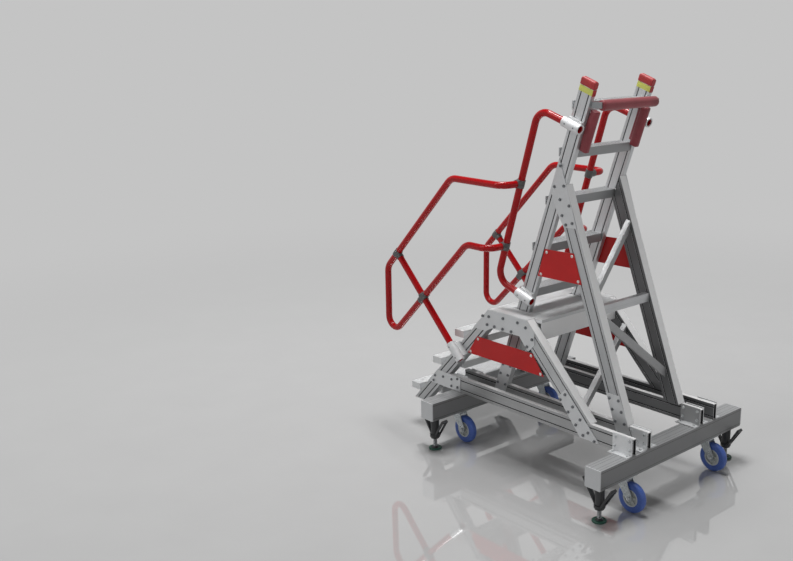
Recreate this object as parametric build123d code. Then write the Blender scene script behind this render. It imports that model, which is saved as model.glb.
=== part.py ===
from build123d import *
import math
import os

# Aircraft maintenance stand: a rolling base of two crossbeams and four rails,
# a three-tread stair up to a small platform, and a leaning ladder frame with a
# front leg frame, red tube handrails and foam buffers at its head.
#
# Millimetres. Working axes: +X towards the aircraft (front), +Z up, Y across.
# X is measured from the middle of the rear crossbeam and moved by X_SHIFT when
# a piece is written, so that the written origin is on the floor, at the middle
# of the whole box. Every side pair is a mirror image about Y = 0.

# ---------------------------------------------------------------- base
BEAM_LENGTH = 1200.0          # along Y, end caps included
BEAM_WIDTH = 98.0             # along X
BEAM_BOTTOM = 190.0
BEAM_TOP = 295.0
BEAM_WALL = 4.0
BEAM_CAP = 5.0
BEAM_SPACING = 1224.0         # rear beam at X = 0, front beam here

RAIL_TOP = 385.0
RAIL_END_X = 1270.0
MEMBER_WALL = 4.0
RAIL_OUT_Y = (330.0, 356.0)   # outer base rails: inner and outer face
RAIL_IN_Y = (212.0, 238.0)    # inner base rails: inner and outer face
OUTER_Y = (306.0, 356.0)      # stair frame: inner and outer face
INNER_Y = (188.0, 238.0)      # front legs: inner and outer face
LADDER_Y = (212.0, 238.0)     # ladder stringers: inner and outer face
GAP = 1.0                     # weld gap where two members meet
PLATE = 4.0                   # gusset plates
GROOVE = (7.0, 1.6, 15.0)     # slot line: width, depth, distance from the edge

# ---------------------------------------------------------------- stair
STAIR_RUN = 0.955             # X per Z along the stair stringer
STAIR_REAR_X = -397.0         # rear edge of the stringer at Z = STAIR_REF_Z
STAIR_REF_Z = 162.0
STAIR_WIDTH_X = 103.7         # stringer width measured along X
STAIR_BOTTOM = 160.0
DECK_TOP = 841.0
DECK_THICK = 17.0
SIDE_BEAM_Z = (738.0, 838.0)
TREAD_TOPS = (255.0, 463.0, 670.0)
TREAD_THICK = 40.0
TREAD_NOSE_X = -422.0         # rear edge of the lowest tread
TREAD_DEPTH = 217.0
TREAD_HALF = 304.0
TREAD_NOSE_HALF = 359.0

BACK_LEG_REAR = 1256.0        # X + Z on the rear edge of the 45 degree leg
BACK_LEG_FRONT = 1384.0

# ---------------------------------------------------------------- ladder
LADDER_RUN = 0.349
LADDER_REAR_X = 789.3         # rear edge at Z = LADDER_REF_Z
LADDER_REF_Z = 2099.0
LADDER_WIDTH_X = 93.2
RUNG_TOPS = (1743.0, 1486.0, 1229.0, 972.0)
RUNG_THICK = 44.0
RUNG_NOSE = 8.0              # how far a rung stands out behind the stringers
SHELF_TOP = 1980.0
SHELF_NOSE = 8.0

LEG_RUN = 0.382               # the front leg leans the other way
LEG_REAR_X = 681.0            # rear edge at Z = LEG_REF_Z
LEG_REF_Z = 1347.0
LEG_WIDTH_X = 95.3

# ---------------------------------------------------------------- rails
TUBE_R = 19.0
TUBE_WALL = 2.5
RAIL_Y = 404.0                # plane of the stair handrail loops
POST_Y = 272.0                # plane of the ladder handrails
POST_RUN = 0.3145             # X per Z along the ladder handrail
POST_TOP = (532.0, 1933.0)
POST_BOTTOM = (237.0, 995.0)
TOP_RAIL_BEND = (9.0, 1539.0)
LOOP_UPPER_BEND = (-568.0, 952.0)
LOOP_LOWER_BEND = (-573.0, 498.0)
MID_RAIL_BEND = (127.0, 1190.0)
SOCKET_POINT = (-16.0, 600.0)

# ---------------------------------------------------------------- casters
WHEEL_R = 80.0
WHEEL_HALF = 19.0
HUB_R = 45.0
CASTER_Y = 350.0
CASTER_TRAIL = 50.0
AXLE_R = 6.0
RUN_CLEAR = 0.05              # radial running clearance
FORK_IN = 24.0
FORK_T = 5.0
KINGPIN_R = 8.0

# ---------------------------------------------------------------- jacks
JACK_Y = 541.0
JACK_STEM_R = 11.0
JACK_PAD_R = 37.5
JACK_BODY_R = 24.0
JACK_BODY_Z = 66.0
JACK_COLLAR_Z = 82.0
JACK_STEM_TOP = 145.0

X_MIN = LOOP_LOWER_BEND[0] - TUBE_R
X_MAX = BEAM_SPACING + CASTER_TRAIL + WHEEL_R
X_SHIFT = (X_MIN + X_MAX) / 2

os.makedirs("parts", exist_ok=True)


def write(name, solids):
    solids = [Pos(-X_SHIFT, 0, 0) * s for s in solids]
    flat = [one for s in solids for one in s.solids()]
    export_step(flat[0] if len(flat) == 1 else Compound(children=flat), f"parts/{name}.step")


def prism(points, y0, y1):
    """A plate or bar: an outline in X and Z, carried from y0 to y1."""
    outline = Polyline(*[(x, y0, z) for x, z in points], close=True)
    return extrude(make_face(outline), amount=y1 - y0, dir=(0, 1, 0))


def block(x0, x1, y0, y1, z0, z1):
    return Pos((x0 + x1) / 2, (y0 + y1) / 2, (z0 + z1) / 2) * Box(x1 - x0, y1 - y0, z1 - z0)


def rod(p, q, r):
    """A round bar from p to q."""
    p, q = Vector(*p), Vector(*q)
    return extrude(Plane(p, z_dir=q - p) * Circle(r), amount=(q - p).length)


def both(solid):
    """The piece on the -Y side and its mirror image."""
    return [solid, mirror(solid, about=Plane.XZ)]


def strip(a, b, lo, hi):
    """A quadrilateral between the lines a and b, each ((x, z), (x, z)), taken
    from the fraction lo to the fraction hi of the way from a to b."""
    def along(f, i):
        return (a[i][0] + (b[i][0] - a[i][0]) * f, a[i][1] + (b[i][1] - a[i][1]) * f)
    return [along(lo, 0), along(lo, 1), along(hi, 1), along(hi, 0)]


def longer(line, by):
    (x0, z0), (x1, z1) = line
    n = math.hypot(x1 - x0, z1 - z0)
    dx, dz = (x1 - x0) / n * by, (z1 - z0) / n * by
    return ((x0 - dx, z0 - dz), (x1 + dx, z1 + dz))


def member(edge_a, edge_b, faces, wall=MEMBER_WALL, grooves=True):
    """A hollow box section between two parallel long edges in X and Z. Both
    edges run from one end of the member to the other, and the end cuts join
    them. It is open at both ends and has two slot lines on each side face."""
    (x0, z0), (x1, z1) = edge_a
    y0, y1 = -faces[1], -faces[0]
    length = math.hypot(x1 - x0, z1 - z0)
    ux, uz = (x1 - x0) / length, (z1 - z0) / length
    depth = abs((edge_b[0][0] - x0) * uz - (edge_b[0][1] - z0) * ux)
    body = prism([edge_a[0], edge_a[1], edge_b[1], edge_b[0]], y0, y1)
    la, lb = longer(edge_a, 300), longer(edge_b, 300)
    # shift the far ends so that both lines are square to each other
    f = wall / depth
    body -= prism(strip(la, lb, f, 1 - f), y0 + wall, y1 - wall)
    if grooves:
        w, d, inset = GROOVE
        for lo in (inset / depth, 1 - (inset + w) / depth):
            hi = lo + w / depth
            body -= prism(strip(la, lb, lo, hi), y0 - 1, y0 + d)
            body -= prism(strip(la, lb, lo, hi), y1 - d, y1 + 1)
    return body


def stair_rear(z):
    return STAIR_REAR_X + (z - STAIR_REF_Z) * STAIR_RUN


def stair_front(z):
    return stair_rear(z) + STAIR_WIDTH_X


def ladder_rear(z):
    return LADDER_REAR_X + (z - LADDER_REF_Z) * LADDER_RUN


def ladder_front(z):
    return ladder_rear(z) + LADDER_WIDTH_X


def leg_rear(z):
    return LEG_REAR_X + (LEG_REF_Z - z) * LEG_RUN


def leg_front(z):
    return leg_rear(z) + LEG_WIDTH_X


# ================================================================ base
beams, caps = [], []
for x in (0.0, BEAM_SPACING):
    half = BEAM_LENGTH / 2 - BEAM_CAP
    w = BEAM_WIDTH / 2
    tube = block(x - w, x + w, -half, half, BEAM_BOTTOM, BEAM_TOP)
    tube -= block(x - w + BEAM_WALL, x + w - BEAM_WALL, -half - 1, half + 1,
                  BEAM_BOTTOM + BEAM_WALL, BEAM_TOP - BEAM_WALL)
    beams.append(tube)
    cap = block(x - w, x + w, -half - BEAM_CAP, -half, BEAM_BOTTOM, BEAM_TOP)
    cap = fillet(cap.edges().filter_by(Axis.Y), 4)
    plug = block(x - w + BEAM_WALL + 0.5, x + w - BEAM_WALL - 0.5, -half, -half + 18,
                 BEAM_BOTTOM + BEAM_WALL + 0.5, BEAM_TOP - BEAM_WALL - 0.5)
    caps += both(cap + plug)
write("crossbeams", beams)
write("crossbeam_end_caps", caps)

outer_rail = member(
    ((stair_front(BEAM_TOP) + GAP, BEAM_TOP), (RAIL_END_X, BEAM_TOP)),
    ((stair_front(RAIL_TOP) + GAP, RAIL_TOP), (RAIL_END_X, RAIL_TOP)), RAIL_OUT_Y)
write("outer_base_rails", both(outer_rail))
inner_rail = member(((-75.0, BEAM_TOP), (RAIL_END_X, BEAM_TOP)),
                    ((-75.0, RAIL_TOP), (RAIL_END_X, RAIL_TOP)), RAIL_IN_Y)
write("inner_base_rails", both(inner_rail))

# angle brackets: (X from at the top, X from at the foot, X to, rail face,
# direction of the foot, foot)
BRACKETS = (
    (1146.0, 1146.0, 1268.0, RAIL_OUT_Y[1], 1, 40.0),
    (1154.0, 1196.0, 1268.0, RAIL_IN_Y[1], 1, 50.0),
    (1146.0, 1146.0, 1268.0, RAIL_IN_Y[0], -1, 50.0),
    (-45.0, -45.0, 45.0, RAIL_OUT_Y[0], -1, 40.0),
    (-45.0, -45.0, 45.0, RAIL_IN_Y[0], -1, 50.0),
)
angle_t = 5.0
angles = []
for top_x, x0, x1, face, way, foot in BRACKETS:
    a, b = sorted((face, face + way * angle_t))
    upright = prism([(x0, BEAM_TOP), (x1, BEAM_TOP), (x1, RAIL_TOP + 6), (top_x, RAIL_TOP + 6)], -b, -a)
    a, b = sorted((face, face + way * foot))
    angles += both(upright + block(x0, x1, -b, -a, BEAM_TOP, BEAM_TOP + angle_t))
write("corner_brackets", angles)

# ================================================================ stair frame
side_z0, side_z1 = SIDE_BEAM_Z
stringer = member(((stair_rear(STAIR_BOTTOM), STAIR_BOTTOM), (stair_rear(side_z1), side_z1)),
                  ((stair_front(STAIR_BOTTOM), STAIR_BOTTOM), (stair_front(side_z1), side_z1)),
                  OUTER_Y)
write("stair_stringers", both(stringer))

back_leg = member(((BACK_LEG_REAR - side_z1, side_z1), (BACK_LEG_REAR - RAIL_TOP - GAP, RAIL_TOP + GAP)),
                  ((BACK_LEG_FRONT - side_z1, side_z1), (BACK_LEG_FRONT - RAIL_TOP - GAP, RAIL_TOP + GAP)),
                  OUTER_Y)
write("back_legs", both(back_leg))

side_beam = member(((stair_front(side_z0) + GAP, side_z0), (BACK_LEG_REAR - side_z0 - GAP, side_z0)),
                   ((stair_front(side_z1) + GAP, side_z1), (BACK_LEG_REAR - side_z1 - GAP, side_z1)),
                   OUTER_Y, grooves=False)
write("platform_side_beams", both(side_beam))

front_top = DECK_TOP - DECK_THICK
front_beam = block(560, 600, -304, 304, 728, front_top)
front_beam -= block(564, 596, -305, 305, 732, front_top - 4)
write("platform_front_beam", [front_beam])

knee = prism([(129, 713), (stair_rear(side_z1), side_z1), (546, side_z1), (598, 786), (603, 715),
              (556, 670), (489, 740), (277, 738), (232, 713)], -OUTER_Y[1] - PLATE, -OUTER_Y[1])
write("knee_plates", both(knee))

gusset = prism([(-226, 342), (-184, 386), (16, 384), (16, 298), (-268, 298)],
               -OUTER_Y[1] - PLATE, -OUTER_Y[1])
write("rear_gusset_plates", both(gusset))

treads = []
for n, top in enumerate(TREAD_TOPS):
    shift = (top - TREAD_TOPS[0]) * STAIR_RUN
    z0 = top - TREAD_THICK
    nose = TREAD_NOSE_X + shift
    behind = stair_rear(z0) - 2.0
    tread = block(nose, nose + TREAD_DEPTH, -TREAD_HALF, TREAD_HALF, z0, top)
    tread += block(nose, behind, -TREAD_NOSE_HALF, TREAD_NOSE_HALF, z0, top)
    # open underside: a skin with two ribs across
    for rib in range(3):
        step = (TREAD_DEPTH - 6) / 3
        a = nose + 6 + rib * step
        tread -= block(a, a + step - 6, -TREAD_HALF + 8, TREAD_HALF - 8, z0 - 1, top - 6)
    treads.append(tread)
write("stair_treads", treads)

# three boards between the side beams, with openings for the ladder stringers,
# and a thin cover over the open tops of the stair frame
deck_z0 = DECK_TOP - DECK_THICK
cover = prism([(stair_rear(side_z1) + 2, side_z1), (BACK_LEG_FRONT - side_z1, side_z1),
               (BACK_LEG_FRONT - DECK_TOP, DECK_TOP), (stair_rear(DECK_TOP) + 2, DECK_TOP)],
              -OUTER_Y[1], -OUTER_Y[0])
deck = [
    block(250, 329, -TREAD_HALF, TREAD_HALF, deck_z0, DECK_TOP),
    block(332, 450, -LADDER_Y[0] + 5, LADDER_Y[0] - 5, deck_z0, DECK_TOP),
    block(453, 602, -TREAD_HALF, TREAD_HALF, deck_z0, DECK_TOP),
] + both(block(332, 450, -TREAD_HALF, -LADDER_Y[1] - 5, deck_z0, DECK_TOP)) + both(cover)
write("platform_deck", deck)

# ================================================================ ladder frame
top_cut = 2099.0
lx, lz = LADDER_RUN, 1.0
ln = math.hypot(lx, lz)
ux, uz = lx / ln, lz / ln                 # up along the ladder
nx, nz = uz, -ux                          # out of its front face
ladder_depth = LADDER_WIDTH_X * uz
head_rear = (ladder_rear(2089.0), 2089.0)
head_front = (head_rear[0] + nx * ladder_depth, head_rear[1] + nz * ladder_depth)
foot_z = RAIL_TOP + GAP
ladder = member(((ladder_rear(foot_z), foot_z), head_rear),
                ((ladder_front(foot_z), foot_z), head_front), LADDER_Y)
write("ladder_stringers", both(ladder))

rungs = []
RUNG_HALF = LADDER_Y[0] - 2
for top in RUNG_TOPS:
    z0 = top - RUNG_THICK
    nose = ladder_rear(z0) - RUNG_NOSE
    rung = block(nose, ladder_front(z0) - 2, -RUNG_HALF, RUNG_HALF, z0, top)
    rung += block(nose, ladder_rear(z0) - 2, -LADDER_Y[1], LADDER_Y[1], z0, top)
    rung -= block(nose + 5, ladder_front(z0) - 7, -RUNG_HALF + 5, RUNG_HALF - 5, z0 - 1, top - 5)
    rungs.append(rung)
write("ladder_rungs", rungs)
z0 = SHELF_TOP - RUNG_THICK
nose = ladder_rear(z0) - SHELF_NOSE
shelf = block(nose, ladder_front(z0) - 2, -RUNG_HALF, RUNG_HALF, z0, SHELF_TOP)
shelf += block(nose, ladder_rear(z0) - 2, -LADDER_Y[1], LADDER_Y[1], z0, SHELF_TOP)
shelf -= block(nose + 5, ladder_front(z0) - 7, -RUNG_HALF + 5, RUNG_HALF - 5, z0 - 1, SHELF_TOP - 5)
write("ladder_top_shelf", [shelf])

# the front leg meets the front edge of the ladder stringer
def leg_meets(offset):
    # LEG_REAR_X + (LEG_REF_Z - z) LEG_RUN + offset = ladder_front(z)
    z = (LEG_REAR_X + offset + LEG_REF_Z * LEG_RUN - LADDER_REAR_X - LADDER_WIDTH_X
         + LADDER_REF_Z * LADDER_RUN) / (LADDER_RUN + LEG_RUN)
    return (ladder_front(z) + GAP, z)

leg = member((leg_meets(0), (leg_rear(foot_z), foot_z)),
             (leg_meets(LEG_WIDTH_X), (leg_front(foot_z), foot_z)), INNER_Y)
write("front_legs", both(leg))

apex = prism([(650, 1690), (697, 1564), (774, 1345), (689, 1340), (639, 1413), (592, 1525)],
             -INNER_Y[1] - PLATE, -INNER_Y[1])
write("apex_gusset_plates", both(apex))

back_splice = prism([(776, 478), (826, 530), (1057, 301), (1040, 297), (930, 297)],
                    -OUTER_Y[1] - PLATE, -OUTER_Y[1])
front_splice = prism([(leg_rear(530) + 4, 530), (leg_front(530) - 4, 530),
                      (leg_front(300) + 4, 303), (leg_rear(300) + 4, 303)],
                     -INNER_Y[1] - PLATE, -INNER_Y[1])
ladder_splice = prism([(ladder_rear(520) + 4, 520), (ladder_front(520) - 4, 520),
                       (ladder_front(303) - 4, 303), (ladder_rear(303) + 4, 303)],
                      -INNER_Y[1] - PLATE, -INNER_Y[1])
write("leg_splice_plates", both(back_splice) + both(front_splice) + both(ladder_splice))

# zigzag braces: two ends, and the |Y| that they reach
BRACES = (
    ((764.0, 187.0, 1308.0), (866.0, -187.0, 1020.0), INNER_Y[0]),  # between the front legs
    ((936.0, -187.0, 880.0), (1036.0, 187.0, 547.0), INNER_Y[0]),
    ((668.0, 306.0, 690.0), (905.0, -306.0, 438.0), OUTER_Y[0]),    # between the back legs
)
def square_bar(p, q, w, h):
    p, q = Vector(*p), Vector(*q)
    d = (q - p).normalized()
    up = Vector(0, 0, 1) if abs(d.Z) < 0.9 else Vector(1, 0, 0)
    side = d.cross(up).normalized()
    return extrude(Plane(p, x_dir=side, z_dir=d) * Rectangle(w, h), amount=(q - p).length)

def clipped(bar, reach):
    return bar & block(-700, 1500, -reach + 0.5, reach - 0.5, 0, 2200)

braces = []
for p, q, reach in BRACES:
    p, q = Vector(*p), Vector(*q)
    d = (q - p).normalized() * 40
    braces.append(clipped(square_bar(tuple(p - d), tuple(q + d), 28, 40), reach))
write("leg_diagonal_braces", braces)
bar_z = 937.0
write("leg_cross_bar", [block(leg_front(bar_z) - 42, leg_front(bar_z) - 12, -INNER_Y[0] + 0.5,
                              INNER_Y[0] - 0.5, bar_z - 23, bar_z + 23)])

sign_t = 3.0
upper_sign = prism([(556, 1207), (758, 1214), (816, 1059), (507, 1054)],
                   -INNER_Y[1] - sign_t, -INNER_Y[1])
write("upper_sign_plates", both(upper_sign))
lower_sign = prism([(160, 666), (586, 666), (671, 556), (83, 554)],
                   -OUTER_Y[1] - sign_t, -OUTER_Y[1])
write("lower_sign_plates", both(lower_sign))

# ================================================================ handrails
def tube(points, radii, r=TUBE_R, wall=TUBE_WALL):
    path = FilletPolyline(*points, radius=radii) if radii else Line(*points)
    start = Plane(path @ 0, z_dir=path % 0)
    return sweep(start * (Circle(r) - Circle(r - wall)), path=path)


def post_x(z):
    return POST_TOP[0] - (POST_TOP[1] - z) * POST_RUN


pn = math.hypot(POST_RUN, 1.0)
qx, qz = 1 / pn, -POST_RUN / pn           # square to the post, towards the ladder
# each end: bend, tube end, sleeve from and to, saddle from and to; all but the
# bend are distances from the post
POST_ENDS = (
    (POST_TOP, 290.0, 180.0, 295.0, 190.0, 279.0),
    (POST_BOTTOM, 268.0, 158.0, 273.0, 158.0, 246.0),
)
def off_post(bend, by):
    return (bend[0] + qx * by, -POST_Y, bend[1] + qz * by)
post_path = [off_post(POST_TOP, POST_ENDS[0][1]), off_post(POST_TOP, 0),
             off_post(POST_BOTTOM, 0), off_post(POST_BOTTOM, POST_ENDS[1][1])]
write("ladder_handrails", both(tube(post_path, [75, 75])))

blocks = []
for bend, reach, a, b, c, d in POST_ENDS:
    x, z = bend
    # a round sleeve on a flat saddle that is bolted to the stringer
    body = rod((x + qx * a, -POST_Y, z + qz * a), (x + qx * b, -POST_Y, z + qz * b), 26.0)
    h = 30.0
    body += prism([(x + qx * c - qz * h, z + qz * c + qx * h), (x + qx * d - qz * h, z + qz * d + qx * h),
                   (x + qx * d + qz * h, z + qz * d - qx * h), (x + qx * c + qz * h, z + qz * c - qx * h)],
                  -POST_Y + 15, -LADDER_Y[1])
    body &= block(x - 100, x + 400, -POST_Y - 30, -LADDER_Y[1], z - 300, z + 200)
    body -= rod(off_post(bend, 0), off_post(bend, 340), TUBE_R + 0.2)
    blocks += both(body)
write("ladder_rail_blocks", blocks)

# cross tube: from the stair socket, square to the stair, up to the top rail
dx, dz = LOOP_UPPER_BEND[0] - TOP_RAIL_BEND[0], LOOP_UPPER_BEND[1] - TOP_RAIL_BEND[1]
n = math.hypot(dx, dz)
tx, tz = dz / n, -dx / n                  # towards the top rail
sx, sz = SOCKET_POINT
# distances along the cross tube to the top rail and to the middle rail
def hit(p, q):
    ex, ez = q[0] - p[0], q[1] - p[1]
    return ((p[0] - sx) * ez - (p[1] - sz) * ex) / (tx * ez - tz * ex)
to_top = hit(TOP_RAIL_BEND, LOOP_UPPER_BEND)
to_mid = hit(LOOP_LOWER_BEND, MID_RAIL_BEND)
def on_cross(t, y=-RAIL_Y):
    return (sx + tx * t, y, sz + tz * t)
cross = tube([on_cross(-119), on_cross(to_top - TUBE_R - 0.5)], None)
write("handrail_cross_tubes", both(cross))

mid = on_cross(to_mid)
mx, mz = MID_RAIL_BEND[0] - LOOP_LOWER_BEND[0], MID_RAIL_BEND[1] - LOOP_LOWER_BEND[1]
m = math.hypot(mx, mz)
mx, mz = mx / m, mz / m
off = TUBE_R + 3.0
end_y = -POST_Y - TUBE_R - 1.0
top_z, mid_z = TOP_RAIL_BEND[1], MID_RAIL_BEND[1]
upper = tube([
    (post_x(top_z), end_y, top_z),
    (post_x(top_z), -RAIL_Y, top_z),
    (TOP_RAIL_BEND[0], -RAIL_Y, TOP_RAIL_BEND[1]),
    (LOOP_UPPER_BEND[0], -RAIL_Y, LOOP_UPPER_BEND[1]),
    (LOOP_LOWER_BEND[0], -RAIL_Y, LOOP_LOWER_BEND[1]),
    (mid[0] - mx * off, -RAIL_Y, mid[2] - mz * off),
], [60, 90, 80, 62, ])
lower = tube([
    (mid[0] + mx * off, -RAIL_Y, mid[2] + mz * off),
    (MID_RAIL_BEND[0], -RAIL_Y, MID_RAIL_BEND[1]),
    (post_x(mid_z), -RAIL_Y, mid_z),
    (post_x(mid_z), end_y, mid_z),
], [90, 60])
right = [upper, lower]
write("stair_handrail_right", right)
write("stair_handrail_left", [mirror(s, about=Plane.XZ) for s in right])

# clamps: a sleeve around the through tube and a stub around the joining tube
CL_R, CL_L, CL_STUB = TUBE_R + 3.5, 22.0, 38.0
clear = 0.15
def sleeve(centre, way, half=CL_L):
    c, w = Vector(*centre), Vector(*way).normalized()
    return tuple(c - w * half), tuple(c + w * half)

def clamp(centre, through, joining, stubs):
    """stubs: directions (+1 or -1) in which the joining tube leaves."""
    body = rod(*sleeve(centre, through), CL_R)
    j = Vector(*joining).normalized()
    c = Vector(*centre)
    for s in stubs:
        body += rod(tuple(c), tuple(c + j * (s * CL_STUB)), CL_R - 0.8)
    body -= rod(*sleeve(centre, through, 60), TUBE_R + clear)
    for s in stubs:
        body -= rod(tuple(c), tuple(c + j * (s * 60.0)), TUBE_R + clear - 0.08)
    return body

rail_dir = (dx, 0, dz)
cross_dir = (tx, 0, tz)
post_dir = (POST_RUN, 0, 1.0)
clamps = []
clamps += both(clamp(on_cross(to_top), rail_dir, cross_dir, (-1,)))
clamps += both(clamp(mid, cross_dir, (mx, 0, mz), (-1, 1)))
for z in (top_z, mid_z):
    clamps += both(clamp((post_x(z), -POST_Y, z), post_dir, (0, -1, 0), (1,)))
write("handrail_clamps", clamps)

# sockets on the outer faces of the stair stringers: a round sleeve on a saddle
h = 26.0
a, b = -4.0, -124.0                       # sleeve, along the cross tube
c, d = -18.0, -106.0                      # saddle
socket = rod(on_cross(a), on_cross(b), 26.0)
socket += prism([(sx + tx * c - tz * h, sz + tz * c + tx * h), (sx + tx * d - tz * h, sz + tz * d + tx * h),
                 (sx + tx * d + tz * h, sz + tz * d - tx * h), (sx + tx * c + tz * h, sz + tz * c - tx * h)],
                -RAIL_Y + 12, -OUTER_Y[1])
socket -= rod(on_cross(2), on_cross(b - 2), TUBE_R + clear)
write("stair_rail_sockets", both(socket))

# ================================================================ foam and caps
def on_ladder(along, out):
    """From the front edge of the stringer head: down the ladder and out."""
    return (head_front[0] - ux * along + nx * out, head_front[1] - uz * along + nz * out)

t = 3.0
cap_up, cap_down = 14.0, 28.0
cap = prism([on_ladder(-cap_up, t), on_ladder(cap_down, t),
             on_ladder(cap_down, -ladder_depth - t), on_ladder(-cap_up, -ladder_depth - t)],
            -LADDER_Y[1] - t, -LADDER_Y[0] + t)
cap = fillet(cap.edges().filter_by(Axis.Y).sort_by(Axis.Z)[-2:], 8)
s = 0.5
cap -= prism([on_ladder(-s, s), on_ladder(cap_down + 1, s),
              on_ladder(cap_down + 1, -ladder_depth - s), on_ladder(-s, -ladder_depth - s)],
             -LADDER_Y[1] - s, -LADDER_Y[0] + s)
write("stringer_caps", both(cap))

ROLL = (893.0, 1963.0, 27.0, 218.0)       # x, z, radius, half length
rx, rz, rr, rl = ROLL
roll = rod((rx, -rl, rz), (rx, rl, rz), rr)
roll = fillet(roll.edges(), 8)
write("head_foam_roll", [roll])
hold = prism([(ladder_front(rz + 16) + 1, rz + 16), (rx + 12, rz + 16), (rx + 12, rz - 14),
              (ladder_front(rz - 14) + 1, rz - 14)], -226.0, -220.0)
write("foam_roll_brackets", both(hold))

PAD = (125.0, 345.0, 46.0, 177.0, 220.0)  # from, to, stands out, |y| from, |y| to
PAD_LIP = (149.0, 328.0, 196.0)           # from, to, |y| that the inner lip reaches
a, b, out, y0, y1 = PAD
pad = prism([on_ladder(a, 0.5), on_ladder(a, out), on_ladder(b, out), on_ladder(b, 0.5)], -y1, -y0)
a, b, y0 = PAD_LIP
pad += prism([on_ladder(a, -30), on_ladder(a, 1), on_ladder(b, 1), on_ladder(b, -30)],
             -LADDER_Y[0] + 0.5, -y0)
write("side_foam_pads", both(pad))

# ================================================================ casters
CASTERS = (
    ("rear_right", 0.0, -1), ("rear_left", 0.0, 1),
    ("front_right", BEAM_SPACING, -1), ("front_left", BEAM_SPACING, 1),
)
plates = []
for name, x, side in CASTERS:
    y = side * CASTER_Y
    plate = block(x - 47, x + 47, y - 44, y + 44, BEAM_BOTTOM - 5, BEAM_BOTTOM)
    plate += Pos(x, y, (172.0 + 185.0) / 2) * Cylinder(29, 13.0)
    plate += Pos(x, y, (167.0 + 172.0) / 2) * Cylinder(KINGPIN_R, 5.0)
    plates.append(plate)

    ax = x + CASTER_TRAIL
    side_pts = [(x - 27, 171.6), (x + 27, 171.6), (ax + 17, 96), (ax + 17, 72), (ax + 6, 62),
                (ax - 10, 62), (ax - 18, 74), (x - 27, 150)]
    fork = prism(side_pts, y - FORK_IN - FORK_T, y - FORK_IN)
    fork += prism(side_pts, y + FORK_IN, y + FORK_IN + FORK_T)
    fork += block(x - 27, x + 27, y - FORK_IN - FORK_T, y + FORK_IN + FORK_T, 166.6, 171.6)
    fork -= Pos(x, y, 169) * Cylinder(KINGPIN_R + RUN_CLEAR, 20)
    fork -= rod((ax, y - 60, WHEEL_R), (ax, y + 60, WHEEL_R), AXLE_R + RUN_CLEAR)
    write(f"caster_fork_{name}", [fork])

    reach = FORK_IN + FORK_T
    axle = rod((ax, y - reach, WHEEL_R), (ax, y + reach, WHEEL_R), AXLE_R)
    for s in (-1, 1):
        axle += rod((ax, y + s * reach, WHEEL_R), (ax, y + s * (reach + 7), WHEEL_R), 10)
    write(f"caster_axle_{name}", [axle])

    tyre = rod((ax, y - WHEEL_HALF, WHEEL_R), (ax, y + WHEEL_HALF, WHEEL_R), WHEEL_R)
    tyre = fillet(tyre.edges(), 6)
    tyre -= rod((ax, y - 40, WHEEL_R), (ax, y + 40, WHEEL_R), HUB_R)
    write(f"wheel_tyre_{name}", [tyre])
    hub = rod((ax, y - WHEEL_HALF + 1, WHEEL_R), (ax, y + WHEEL_HALF - 1, WHEEL_R), HUB_R - 0.1)
    for s in (-1, 1):
        ring = rod((ax, y + s * 9, WHEEL_R), (ax, y + s * 30, WHEEL_R), HUB_R - 8)
        ring -= rod((ax, y + s * 8, WHEEL_R), (ax, y + s * 31, WHEEL_R), 17)
        hub -= ring
    hub -= rod((ax, y - 40, WHEEL_R), (ax, y + 40, WHEEL_R), AXLE_R + RUN_CLEAR)
    write(f"wheel_hub_{name}", [hub])
write("caster_plates", plates)

# ================================================================ jacks
bodies, pedals = [], []
for name, x, side in CASTERS:
    y = side * JACK_Y
    body = block(x - 34, x + 34, y - 30, y + 30, BEAM_BOTTOM - 6, BEAM_BOTTOM)
    body += Pos(x, y, (JACK_BODY_Z + BEAM_BOTTOM - 6) / 2) * Cylinder(JACK_BODY_R, BEAM_BOTTOM - 6 - JACK_BODY_Z)
    body -= Pos(x, y, (JACK_BODY_Z - 1 + BEAM_BOTTOM - 2) / 2) * Cylinder(
        JACK_STEM_R + RUN_CLEAR, BEAM_BOTTOM - 2 - JACK_BODY_Z + 1)
    bodies.append(body)

    foot = Pos(x, y, 5) * Cylinder(JACK_PAD_R, 10)
    foot = fillet(foot.edges(), 3)
    foot += Pos(x, y, 10 + 4) * Cone(20, JACK_STEM_R, 8)
    foot += Pos(x, y, (8 + JACK_STEM_TOP) / 2) * Cylinder(JACK_STEM_R, JACK_STEM_TOP - 8)
    write(f"jack_foot_{name}", [foot])

    # a collar on the body, a long arm towards the rear and a loop towards the front
    low = JACK_COLLAR_Z - 6
    collar = Pos(x, y, JACK_COLLAR_Z) * Cylinder(JACK_BODY_R + 5, 14)
    arm = prism([(x - 20, low), (x - 20, low + 14), (x - 97, 211), (x - 106, 203)], y - 11, y + 11)
    loop = prism([(x + 20, low), (x + 20, low + 16), (x + 80, 192), (x + 91, 184)], y - 20, y + 20)
    loop -= prism([(x + 10, 114), (x + 57, 190), (x + 100, 164), (x + 53, 88)], y - 13, y + 13)
    pedal = collar + arm + loop
    pedal -= Pos(x, y, JACK_COLLAR_Z) * Cylinder(JACK_BODY_R + 0.1, 60)
    pedals.append(pedal)
write("jack_bodies", bodies)
write("jack_pedals", pedals)

print("x shift", X_SHIFT, "to_top", round(to_top, 1), "to_mid", round(to_mid, 1))
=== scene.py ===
import bpy
import bmesh
import math
import random
from mathutils import Matrix, Vector, noise


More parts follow.
